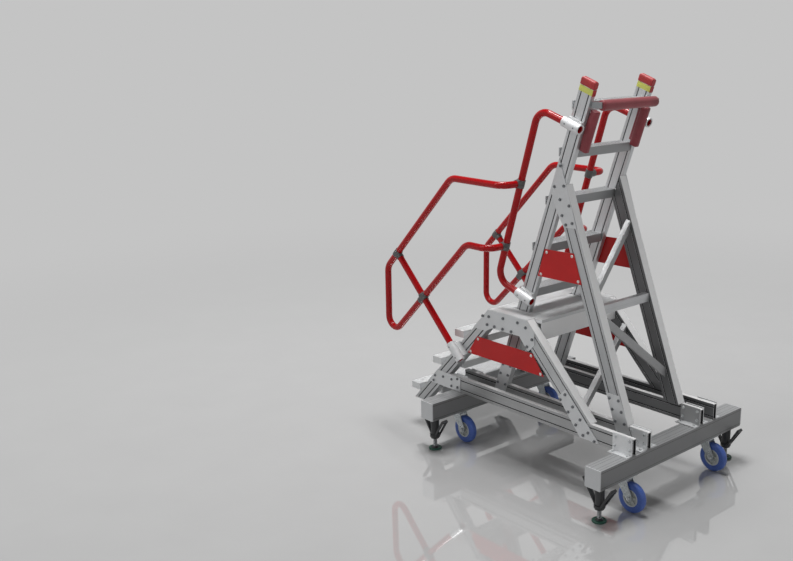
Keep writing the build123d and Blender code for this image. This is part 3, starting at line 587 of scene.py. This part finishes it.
# angle brackets on the crossbeams: (x from at the top, x from at the foot,
# x to, rail face, way of the foot, foot)
BRACKETS = (
    (1146.0, 1146.0, 1268.0, 356.0, 1, 40.0),
    (1154.0, 1196.0, 1268.0, 238.0, 1, 50.0),
    (1146.0, 1146.0, 1268.0, 212.0, -1, 50.0),
    (-45.0, -45.0, 45.0, 330.0, -1, 40.0),
    (-45.0, -45.0, 45.0, 212.0, -1, 50.0),
)
for side, word in ((-1, "right"), (1, "left")):
    bm = bmesh.new()
    for top_x, x0, x1, face, way, foot in BRACKETS:
        up_y = face + way * 5.0
        for x, z in ((top_x + 18, 372), (x0 + 12, 324), (x1 - 16, 324), (x1 - 16, 372)):
            bolt(bm, W(x, side * up_y, z), (0, side * way, 0), 1.05)
        for x in (x0 + 18, x1 - 18):
            bolt(bm, W(x, side * (face + way * (foot * 0.62)), 300.0), (0, 0, 1), 0.9)
    piece(f"bracket_bolts_{word}", bm, steel_mat, "frame", 35)

# clamps on the tubes: socket screws on their outer side
POST_TOP, POST_BOTTOM, POST_RUN, POST_Y, RAIL_Y = (532.0, 1933.0), (237.0, 995.0), 0.3145, 272.0, 404.0


def post_x(z):
    return POST_TOP[0] - (POST_TOP[1] - z) * POST_RUN


TOP_BEND, UPPER_BEND = Vector((9.0, 1539.0)), Vector((-568.0, 952.0))
LOWER_BEND, MID_BEND = Vector((-573.0, 498.0)), Vector((127.0, 1190.0))
rail_dir = (UPPER_BEND - TOP_BEND).normalized()
cross_dir = Vector((rail_dir.y, -rail_dir.x))        # towards the top rail
mid_dir = (MID_BEND - LOWER_BEND).normalized()
SOCKET = Vector((-16.0, 600.0))


def crossing(p, d, q, e):
    t = ((q.x - p.x) * e.y - (q.y - p.y) * e.x) / (d.x * e.y - d.y * e.x)
    return p + d * t


mid_hit = crossing(SOCKET, cross_dir, LOWER_BEND, mid_dir)
top_hit = crossing(SOCKET, cross_dir, TOP_BEND, rail_dir)
for side, word in ((-1, "right"), (1, "left")):
    bm = bmesh.new()
    for c, spans in ((mid_hit, (mid_dir * 30, mid_dir * -30)), (top_hit, (cross_dir * -30, rail_dir * 14, rail_dir * -14))):
        for d in spans:
            p = c + d
            bolt(bm, W(p.x, side * (RAIL_Y + 21.2), p.y), (0, side, 0), 0.62, False, "dome")
    for z in (1539.0, 1190.0):
        for dz in (-14, 14):
            x = post_x(z + dz) - 21.6
            bolt(bm, W(x, side * POST_Y, z + dz - 7.5), (-1, 0, POST_RUN), 0.62, False, "dome")
        bolt(bm, W(post_x(z), side * (POST_Y + 31), z + 21.4), (0, 0, 1), 0.62, False, "dome")
    piece(f"clamp_screws_{word}", bm, dark_bolt, "frame", 35)

# screws that hold the sleeves and the sockets to the stringers
pn = math.hypot(POST_RUN, 1.0)
q = Vector((1 / pn, -POST_RUN / pn))
up = Vector((POST_RUN / pn, 1 / pn))
for side, word in ((-1, "right"), (1, "left")):
    bm = bmesh.new()
    for bend, spots in ((POST_TOP, (208.0, 266.0)), (POST_BOTTOM, (184.0, 244.0))):
        for a in spots:
            p = Vector(bend) + q * a
            bolt(bm, W(p.x, side * (POST_Y + 25.4), p.y), (0, side, 0), 0.62, False, "dome")
    for a in (-26.0, -98.0):
        p = SOCKET + cross_dir * a
        bolt(bm, W(p.x, side * (RAIL_Y + 25.4), p.y), (0, side, 0), 0.66, False, "dome")
    piece(f"sleeve_screws_{word}", bm, dark_bolt, "frame", 35)

# ===================================================================== tread ribs
TREAD_TOPS, STAIR_RUN, NOSE_X, DEPTH = (255.0, 463.0, 670.0), 0.955, -422.0, 217.0
STAIR_REAR, STAIR_REF = -397.0, 162.0


def rib(bm, x, z, half, w=3.4, h=1.3, y0=None, y1=None):
    """A low rounded rib across a tread, at x, on top of z."""
    y0, y1 = (-half, half) if y0 is None else (y0, y1)
    section = [(-w / 2, 0), (-w / 2, h * 0.55), (-w * 0.28, h), (w * 0.28, h), (w / 2, h * 0.55), (w / 2, 0)]
    rings = []
    for y, k in ((y0, 0.0), (y0 + 2, 1.0), (y1 - 2, 1.0), (y1, 0.0)):
        rings.append([bm.verts.new(W(x + a, y, z + b * (0.35 + 0.65 * k))) for a, b in section])
    for a, b in zip(rings, rings[1:]):
        for i in range(len(section) - 1):
            bm.faces.new((a[i], a[i + 1], b[i + 1], b[i]))
    bm.faces.new(list(reversed(rings[0])))
    bm.faces.new(rings[-1])


for n, top in enumerate(TREAD_TOPS):
    bm = bmesh.new()
    nose = NOSE_X + (top - TREAD_TOPS[0]) * STAIR_RUN
    behind = STAIR_REAR + (top - 40 - STAIR_REF) * STAIR_RUN - 2.0
    x = nose + 7.0
    while x < nose + DEPTH - 5:
        rib(bm, x, top, (356.0 if x < behind - 4 else 300.0))
        x += 8.5
    piece(f"tread_ribs_{n + 1}", bm, MATERIALS["stair_treads"], "frame", 50)

DECK = ((250, 329, -304, 304), (332, 450, -207, 207), (453, 602, -304, 304), (332, 450, -304, -243), (332, 450, 243, 304))
bm = bmesh.new()
for x0, x1, y0, y1 in DECK:
    x = x0 + 6.0
    while x < x1 - 4:
        rib(bm, x, 841.0, 0, y0=y0 + 4, y1=y1 - 4)
        x += 8.5
piece("deck_ribs", bm, MATERIALS["platform_deck"], "frame", 50)

LADDER_REAR, LADDER_REF, LADDER_RUN, LADDER_WIDTH = 789.3, 2099.0, 0.349, 93.2


def ladder_rear(z):
    return LADDER_REAR + (z - LADDER_REF) * LADDER_RUN


bm = bmesh.new()
RUNGS = (1743.0, 1486.0, 1229.0, 972.0, 1980.0)
for top in RUNGS:
    z0 = top - 44.0
    nose = ladder_rear(z0) - 8.0
    x = nose + 6.0
    while x < ladder_rear(z0) + LADDER_WIDTH - 6:
        rib(bm, x, top, 236.0 if x < ladder_rear(z0) - 5 else 208.0, 3.0, 1.1)
        x += 8.0
piece("rung_ribs", bm, MATERIALS["ladder_rungs"], "frame", 50)

# ===================================================================== head of the ladder
ln = math.hypot(LADDER_RUN, 1.0)
u = Vector((LADDER_RUN / ln, 0.0, 1.0 / ln))             # up the ladder
nrm = Vector((1.0 / ln, 0.0, -LADDER_RUN / ln))          # out of its front face
DEPTH_L = LADDER_WIDTH / ln
head_rear = Vector((ladder_rear(2089.0), 0.0, 2089.0))
head_front = head_rear + nrm * DEPTH_L


def on_ladder(down, out, y):
    p = head_front - u * down + nrm * out
    return W(p.x, y, p.z)


def soft_block(name, rows, side, mat, body="frame", replaced=None, pressure=2.0, cap=0.004,
               voxel=0.0045, sub=1):
    """A foam piece. rows gives closed outlines in (down, out, |y|), joined in
    order; the form is rounded, swollen a little under pressure and smoothed."""
    bm = bmesh.new()
    rings = [[bm.verts.new(on_ladder(d, o, side * y)) for d, o, y in row] for row in rows]
    for a, b in zip(rings, rings[1:]):
        for i in range(len(a)):
            j = (i + 1) % len(a)
            bm.faces.new((a[i], a[j], b[j], b[i]))
    bm.faces.new(list(reversed(rings[0])))
    bm.faces.new(rings[-1])
    obj = piece(name, bm, mat, body, None)
    swell(obj, pressure, cap, voxel, sub)
    if replaced:
        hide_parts(*replaced)
    return obj


def active(obj):
    bpy.ops.object.select_all(action="DESELECT")
    obj.select_set(True)
    bpy.context.view_layer.objects.active = obj


def apply_all(obj):
    active(obj)
    for m in list(obj.modifiers):
        bpy.ops.object.modifier_apply(modifier=m.name)


def swell(obj, pressure, cap, voxel, sub=1, frames=20, round_to=4):
    """Remeshed, rounded and inflated by Cloth, with each point's move capped."""
    m = obj.modifiers.new("remesh", "REMESH")
    m.mode, m.voxel_size = "VOXEL", voxel
    apply_all(obj)
    m = obj.modifiers.new("round", "SMOOTH")
    m.factor, m.iterations = 0.6, round_to
    apply_all(obj)
    start = [v.co.copy() for v in obj.data.vertices]
    c = obj.modifiers.new("cloth", "CLOTH")
    c.settings.use_pressure = True
    c.settings.uniform_pressure_force = pressure
    c.settings.effector_weights.gravity = 0.0
    c.settings.tension_stiffness = c.settings.compression_stiffness = 25
    c.settings.quality = 5
    c.point_cache.frame_start, c.point_cache.frame_end = 1, frames
    for f in range(1, frames + 1):
        bpy.context.scene.frame_set(f)
    apply_all(obj)
    bpy.context.scene.frame_set(1)
    for v, s in zip(obj.data.vertices, start):
        d = v.co - s
        if d.length > cap:
            v.co = s + d.normalized() * cap
    if sub:
        s = obj.modifiers.new("sub", "SUBSURF")
        s.levels = s.render_levels = sub
        apply_all(obj)
    obj.data.shade_smooth()


# stringer caps: soft red caps that fit over the head of each ladder stringer
for side, word in ((-1, "right"), (1, "left")):
    rows = []
    for down, grow in ((27.0, 2.6), (20.0, 3.0), (6.0, 3.0), (-4.0, 3.0), (-9.0, 1.2), (-12.4, -2.8), (-13.6, -7.0)):
        rows.append([(down, grow, 238 + grow), (down, grow, 212 - grow),
                     (down, -DEPTH_L - grow, 212 - grow), (down, -DEPTH_L - grow, 238 + grow)])
    obj = soft_block(f"stringer_cap_soft_{word}", rows, side, cap_mat, pressure=1.5, cap=0.002,
                     voxel=0.003, sub=1)
    if side < 0:
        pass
    else:
        cap_left = obj
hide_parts("stringer_caps")

# reflective bands just under the caps, wrapped round each stringer
for side, word in ((-1, "right"), (1, "left")):
    bm = bmesh.new()
    rings = []
    for down, t in ((28.2, 0.15), (28.2, 0.60), (28.8, 0.85), (57.2, 0.85), (57.8, 0.60), (57.8, 0.15)):
        ring = []
        for k in range(32):                                        # a rounded rectangle
            a = 2 * math.pi * (k + 0.5) / 32
            ca, sa = math.cos(a), math.sin(a)
            r = 1.6
            half_out, half_y = DEPTH_L / 2 + t - r, 13.0 + t - r
            out = -DEPTH_L / 2 + math.copysign(half_out, ca) + r * ca
            yy = 225.0 + math.copysign(half_y, sa) + r * sa
            ring.append(bm.verts.new(on_ladder(down, out, side * yy)))
        rings.append(ring)
    for a, b in zip(rings, rings[1:]):
        for i in range(32):
            j = (i + 1) % 32
            bm.faces.new((a[i], a[j], b[j], b[i]))
    piece(f"reflective_band_{word}", bm, tape_mat, "frame", 30)
    # a red flap that hangs from the cap down the front face, over the band
    rows = []
    for down, k in ((27.0, 0.0), (40.0, 0.0), (56.0, 0.0), (60.0, 1.2)):
        rows.append([(down, 0.9, 237.0 - k), (down, 3.6 - k, 237.0 - k), (down, 3.6 - k, 213.0 + k),
                     (down, 0.9, 213.0 + k)])
    bm = bmesh.new()
    rings = [[bm.verts.new(on_ladder(d, o, side * y)) for d, o, y in row] for row in rows]
    for a, b in zip(rings, rings[1:]):
        for i in range(4):
            bm.faces.new((a[i], a[(i + 1) % 4], b[(i + 1) % 4], b[i]))
    bm.faces.new(list(reversed(rings[0])))
    bm.faces.new(rings[-1])
    piece(f"cap_flap_{word}", bm, cap_mat, "frame", 30)

# side pads: a foam angle on the front and inner face of each stringer
for side, word in ((-1, "right"), (1, "left")):
    front, back, y_in, y_out, wall, lip = 44.5, -28.0, 178.5, 218.5, 210.6, 197.5
    rows = []
    for down, k, hook in ((126.5, 1.6, 0), (129.5, 0.0, 0), (148.0, 0.0, 0), (151.0, 0.0, 1), (190.0, 0.0, 1),
                          (240.0, 0.0, 1), (290.0, 0.0, 1), (326.0, 0.0, 1), (329.0, 0.0, 0), (340.5, 0.0, 0),
                          (343.5, 1.6, 0)):
        tip = back if hook else 0.3
        rows.append([(down, 1.2, y_out - k), (down, front - 9, y_out - k), (down, front - k, y_out - 9),
                     (down, front - k, y_in + 9), (down, front - 9, y_in + k), (down, 1.4, y_in + k),
                     (down, 0.4, lip + k), (down, tip, lip + k), (down, tip, wall), (down, 1.2, wall)])
    obj = soft_block(f"side_pad_soft_{word}", rows, side, foam_mat, pressure=2.5, cap=0.003,
                     voxel=0.0036, sub=1)
    if side < 0:
        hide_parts("side_foam_pads")

# head roll: a foam tube over a bar, with soft crowned ends and a glued seam
ROLL = (893.0, 1963.0, 27.0, 218.0)
rx, rz, rr, rl = ROLL
bm = bmesh.new()
random.seed(4)
steps, rings = 64, []
profile = [(-rl, 0.0), (-rl, 9.0), (-rl + 0.6, 17.0), (-rl + 3.4, 22.6), (-rl + 8.0, 25.8), (-rl + 14.0, rr)]
k = 24
profile += [(-rl + 14.0 + (2 * rl - 28.0) * (i / k), rr) for i in range(1, k)]
profile += [(-y, r) for y, r in reversed(profile[:6])]
for y, r in profile:
    if r == 0.0:
        rings.append([bm.verts.new(W(rx, y, rz))])
        continue
    ring = []
    for i in range(steps):
        a = 2 * math.pi * i / steps
        soft = noise.noise(Vector((math.cos(a) * 1.4, y / 55.0, math.sin(a) * 1.4))) * 0.55
        seam = -0.9 * math.exp(-((a - 3.55) / 0.07) ** 2)
        r2 = r + (soft + seam - 0.35) * min(1.0, r / rr)
        ring.append(bm.verts.new(W(rx + r2 * math.cos(a), y, rz + r2 * math.sin(a))))
    rings.append(ring)
for a, b in zip(rings, rings[1:]):
    for i in range(steps):
        j = (i + 1) % steps
        if len(a) == 1:
            bm.faces.new((a[0], b[j], b[i]))
        elif len(b) == 1:
            bm.faces.new((a[i], a[j], b[0]))
        else:
            bm.faces.new((a[i], a[j], b[j], b[i]))
roll = piece("head_roll_soft", bm, foam_mat, "frame", None)
s = roll.modifiers.new("sub", "SUBSURF")
s.levels = s.render_levels = 1
apply_all(roll)
roll.data.shade_smooth()
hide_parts("head_foam_roll")

# ===================================================================== casters
CASTERS = (
    ("rear_right", 0.0, -1), ("rear_left", 0.0, 1),
    ("front_right", 1224.0, -1), ("front_left", 1224.0, 1),
)
CASTER_Y, TRAIL, WHEEL_R, HALF = 350.0, 50.0, 80.0, 19.0
for name, x, side in CASTERS:
    y = side * CASTER_Y
    ax = x + TRAIL
    centre = W(ax, y, WHEEL_R)
    # tyre: a crowned tread, rounded shoulders and a lip where it meets the hub
    half = [(45.0, 18.0), (46.5, 18.8), (50.0, 18.9), (51.2, 18.0), (52.6, 17.9), (54.8, 18.7), (66.0, 18.4),
            (72.5, 17.2), (75.6, 15.2), (77.6, 12.4), (78.9, 8.4), (79.7, 4.0), (79.95, 0.0)]
    prof = [(r / 1000, h / 1000) for r, h in half] + [(r / 1000, -h / 1000) for r, h in reversed(half[:-1])]
    prof.append(prof[0])
    bm = bmesh.new()
    lathe(bm, prof, centre, (0, 1, 0), 112)
    bmesh.ops.remove_doubles(bm, verts=bm.verts, dist=1e-6)
    tyre = piece(f"tyre_moulded_{name}", bm, tyre_mat, f"wheel_{name}", 50)
    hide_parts(f"wheel_tyre_{name}")
    # ribs and a dust ring in the hub's recess, on both faces
    bm = bmesh.new()
    for s in (-1, 1):
        for i in range(6):
            a = math.pi / 3 * i + 0.26
            ca, sa = math.cos(a), math.sin(a)
            pts = []
            for r, w in ((16.8, 3.0), (36.8, 2.0), (36.8, -2.0), (16.8, -3.0)):
                pts.append(W(ax + r * ca - w * sa, y + s * 9.0, WHEEL_R + r * sa + w * ca))
            slab(bm, pts if s > 0 else list(reversed(pts)), (0, s, 0), 0.0072, 0.0008)
    piece(f"hub_ribs_{name}", bm, hub_mat, f"wheel_{name}", 40)
    bm = bmesh.new()
    for s in (-1, 1):
        lathe(bm, [(0.0072, 0.018), (0.0095, 0.0186), (0.0150, 0.0186), (0.0160, 0.0180), (0.0163, 0.0170)],
              centre, (0, s, 0), 48)
    piece(f"hub_dust_rings_{name}", bm, dark_bolt, f"wheel_{name}", 40)
    # fork: nuts on the axle, a ball race under the plate and the kingpin's nut
    bm = bmesh.new()
    for s in (-1, 1):
        lathe(bm, [(0.0098, 0.0360), (0.0098, 0.0362), (0.0100, 0.0385), (0.0092, 0.0396), (0.0060, 0.0398),
                   (0.0058, 0.0406), (0.0, 0.0408)], centre, (0, s, 0), 24, sides=6)
    piece(f"axle_nuts_{name}", bm, steel_mat, f"swivel_{name}", 35)
    bm = bmesh.new()
    lathe(bm, [(0.0235, 0.1665), (0.0245, 0.1650), (0.0245, 0.1640), (0.0100, 0.1635), (0.0100, 0.1665)],
          W(x, y, 0), (0, 0, 1), 48)
    lathe(bm, [(0.0098, 0.1637), (0.0100, 0.1630), (0.0100, 0.1585), (0.0088, 0.1570), (0.0, 0.1568)],
          W(x, y, 0), (0, 0, 1), 24, sides=6)
    piece(f"kingpin_nut_{name}", bm, steel_mat, f"swivel_{name}", 35)
    # bolts of the top plate, seen from below
    bm = bmesh.new()
    for dx in (-37, 37):
        for dy in (-34, 34):
            bolt(bm, W(x + dx, y + dy, 185.0), (0, 0, -1), 0.75)
    piece(f"caster_plate_bolts_{name}", bm, steel_mat, "frame", 35)

# ===================================================================== jacks
JACK_Y = 541.0
for name, x, side in CASTERS:
    y = side * JACK_Y
    # pad with a rubber rim, and the threaded stem that stands in it
    bm = bmesh.new()
    lathe(bm, [(0, 0.0003), (0.0335, 0.0003), (0.0362, 0.0012), (0.0374, 0.0032), (0.0374, 0.0062), (0.0362, 0.0086),
               (0.0335, 0.0098), (0.0270, 0.0099), (0.0255, 0.0092), (0.0200, 0.0090)], W(x, y, 0), (0, 0, 1), 64)
    pad = piece(f"jack_pad_{name}", bm, green_mat, f"jack_{name}", 40)
    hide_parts(f"jack_foot_{name}")
    bm = bmesh.new()
    lathe(bm, [(0.0205, 0.0088), (0.0202, 0.0104), (0.0185, 0.0116), (0.0150, 0.0140), (0.0126, 0.0168), (0.0122, 0.0178),
               (0.0100, 0.0179)], W(x, y, 0), (0, 0, 1), 48)
    lathe(bm, [(0.0, 0.1445), (0.0085, 0.1445), (0.0098, 0.1435), (0.0098, 0.1250)], W(x, y, 0), (0, 0, 1), 32)
    piece(f"jack_cone_{name}", bm, black_mat, f"jack_{name}", 40)
    bm = bmesh.new()
    turns, pitch, around = 0, 4.0, 28
    z, rows = 17.0, []
    while z < 126.0:
        row = []
        for i in range(around):
            f = ((z / pitch) - i / around) % 1.0
            depth = abs(f - 0.5) * 2.0
            r = 10.95 - 1.5 * min(1.0, max(0.0, depth * 1.5 - 0.3))
            a = 2 * math.pi * i / around
            row.append(bm.verts.new(W(x + r * math.cos(a), y + r * math.sin(a), z)))
        rows.append(row)
        z += pitch / 6
    for a, b in zip(rows, rows[1:]):
        for i in range(around):
            j = (i + 1) % around
            bm.faces.new((a[i], a[j], b[j], b[i]))
    piece(f"jack_thread_{name}", bm, thread_mat, f"jack_{name}", 60)
    # flange bolts on the fixed body
    bm = bmesh.new()
    for dx in (-28, 28):
        for dy in (-24, 24):
            bolt(bm, W(x + dx, y + dy, 184.0), (0, 0, -1), 0.6)
    piece(f"jack_flange_bolts_{name}", bm, steel_mat, "frame", 35)

# ===================================================================== welds
def weld(bm, p, q, normal, size=3.2):
    """A rippled bead from p to q, half sunk in the corner it fills."""
    p, q, n = Vector(p), Vector(q), Vector(normal).normalized()
    length = (q - p).length
    d = (q - p).normalized()
    s = d.cross(n).normalized()
    count = max(6, int(length / 2.2))
    rings = []
    for i in range(count + 1):
        f = i / count
        ripple = 1.0 + 0.10 * math.sin(i * 2.1) + 0.05 * math.sin(i * 5.3)
        r = size * ripple * (0.25 if i in (0, count) else 1.0)
        c = p + (q - p) * f
        rings.append([bm.verts.new(W(*(c + n * (r * 0.55 * math.sin(a)) + s * (r * math.cos(a)))))
                      for a in [math.pi * k / 6 for k in range(7)]])
    for a, b in zip(rings, rings[1:]):
        for i in range(6):
            bm.faces.new((a[i], a[i + 1], b[i + 1], b[i]))


for side, word in ((-1, "right"), (1, "left")):
    bm = bmesh.new()
    s = side
    # rails on the crossbeams, where no bracket stands
    for lo, hi, yy, way in ((-47, 47, 238, 1), (1177, 1268, 330, -1)):
        weld(bm, (lo, s * yy, 295.6), (hi, s * yy, 295.6), (0, s * way, 1), 2.6)
    # ladder stringers and front legs on the inner rails
    leg_x = 681 + (1347 - 386) * 0.382
    for x0, x1, under in ((ladder_rear(386), ladder_rear(386) + LADDER_WIDTH, 0.6), (leg_x, leg_x + 95.3, -0.6)):
        weld(bm, (x0, s * 212, 385.5), (x1, s * 212, 385.5), (0, -s, under), 2.4)
        weld(bm, (x0, s * 216, 385.6), (x0, s * 234, 385.6), (-1, 0, 1), 2.4)
        weld(bm, (x1, s * 216, 385.6), (x1, s * 234, 385.6), (1, 0, 1), 2.4)
    # rungs against the ladder stringers
    for top in RUNGS:
        z0 = top - 44.0
        weld(bm, (ladder_rear(top) + 6, s * 211.0, top + 0.3), (ladder_rear(z0) + LADDER_WIDTH - 3, s * 211.0, top + 0.3),
             (0, -s, 1), 2.2)
    piece(f"weld_beads_{word}", bm, weld_mat, "frame", 60)

# ===================================================================== stage
def floor_material():
    """A pale, lightly polished studio floor that runs into the backdrop's own
    even grey a few metres out, so that no horizon shows."""
    m = Net("floor")
    fine = m.noise(None, 3.0, 3.0, 0.5)
    m.set(Base_Color=m.mix(m.ramp(fine, 0, 1, 0.3, 0.7), (0.465, 0.465, 0.465), (0.48, 0.48, 0.48)),
          Roughness=0.035, Specular_IOR_Level=0.8, Coat_Weight=1.0, Coat_IOR=2.0, Coat_Roughness=0.015)
    length = m.node("ShaderNodeVectorMath", operation="LENGTH")
    m.link(m.coord, length.inputs[0])
    far = m.node("ShaderNodeMapRange", interpolation_type="SMOOTHSTEP")
    far.inputs["From Min"].default_value = 1.6
    far.inputs["From Max"].default_value = 7.5
    m.link(length.outputs["Value"], far.inputs["Value"])
    glow = m.node("ShaderNodeEmission")
    glow.inputs["Color"].default_value = (0.552, 0.552, 0.552, 1.0)
    mixer = m.node("ShaderNodeMixShader")
    m.link(far.outputs["Result"], mixer.inputs[0])
    m.link(m.b.outputs[0], mixer.inputs[1])
    m.link(glow.outputs[0], mixer.inputs[2])
    m.link(mixer.outputs[0], m.t.nodes["Material Output"].inputs["Surface"])
    return m.mat


bpy.ops.mesh.primitive_plane_add(size=120, location=(0, 0, 0))
floor = bpy.context.object
floor.name = "floor"
floor.data.materials.append(floor_material())

world = bpy.data.worlds.new("studio")
bpy.context.scene.world = world
world.use_nodes = True
wt = world.node_tree
bg = wt.nodes["Background"]
tc = wt.nodes.new("ShaderNodeTexCoord")
sp = wt.nodes.new("ShaderNodeSeparateXYZ")
wt.links.new(tc.outputs["Generated"], sp.inputs[0])
grad = wt.nodes.new("ShaderNodeMapRange")
grad.inputs["From Min"].default_value = 0.30
grad.inputs["From Max"].default_value = 0.70
grad.inputs["To Min"].default_value = 0.552
grad.inputs["To Max"].default_value = 0.13
wt.links.new(sp.outputs["Z"], grad.inputs["Value"])
wt.links.new(grad.outputs["Result"], bg.inputs["Color"])
bg.inputs["Strength"].default_value = 1.0


def area(name, location, target, size, power, colour=(1, 1, 1), shape="RECTANGLE", size_y=None):
    d = bpy.data.lights.new(name, "AREA")
    d.shape = shape
    d.size = size
    if size_y:
        d.size_y = size_y
    d.energy = power
    d.color = colour
    o = bpy.data.objects.new(name, d)
    bpy.context.scene.collection.objects.link(o)
    o.location = location
    o.rotation_euler = (Vector(target) - Vector(location)).to_track_quat("-Z", "Y").to_euler()
    return o


area("overhead", (-1.2, 0.2, 9.0), (0.1, 0.0, 0.4), 3.0, 760, size_y=3.0)
area("left_soft", (-3.2, -7.4, 9.5), (0.0, 0.0, 0.7), 4.0, 210, size_y=3.0)

# ===================================================================== camera
cam_data = bpy.data.cameras.new("camera")
cam = bpy.data.objects.new("camera", cam_data)
bpy.context.scene.collection.objects.link(cam)
cam.location = (3.693, -3.990, 2.326)
cam.rotation_euler = (math.pi / 2 - 0.261, 0.0, 0.802)
cam_data.sensor_fit = "HORIZONTAL"
cam_data.sensor_width = 36.0
cam_data.lens = 45.56
cam_data.shift_x = -0.1269
cam_data.shift_y = 0.0191
cam_data.clip_end = 300.0
bpy.context.scene.camera = cam
bpy.context.scene.view_settings.view_transform = "Standard"
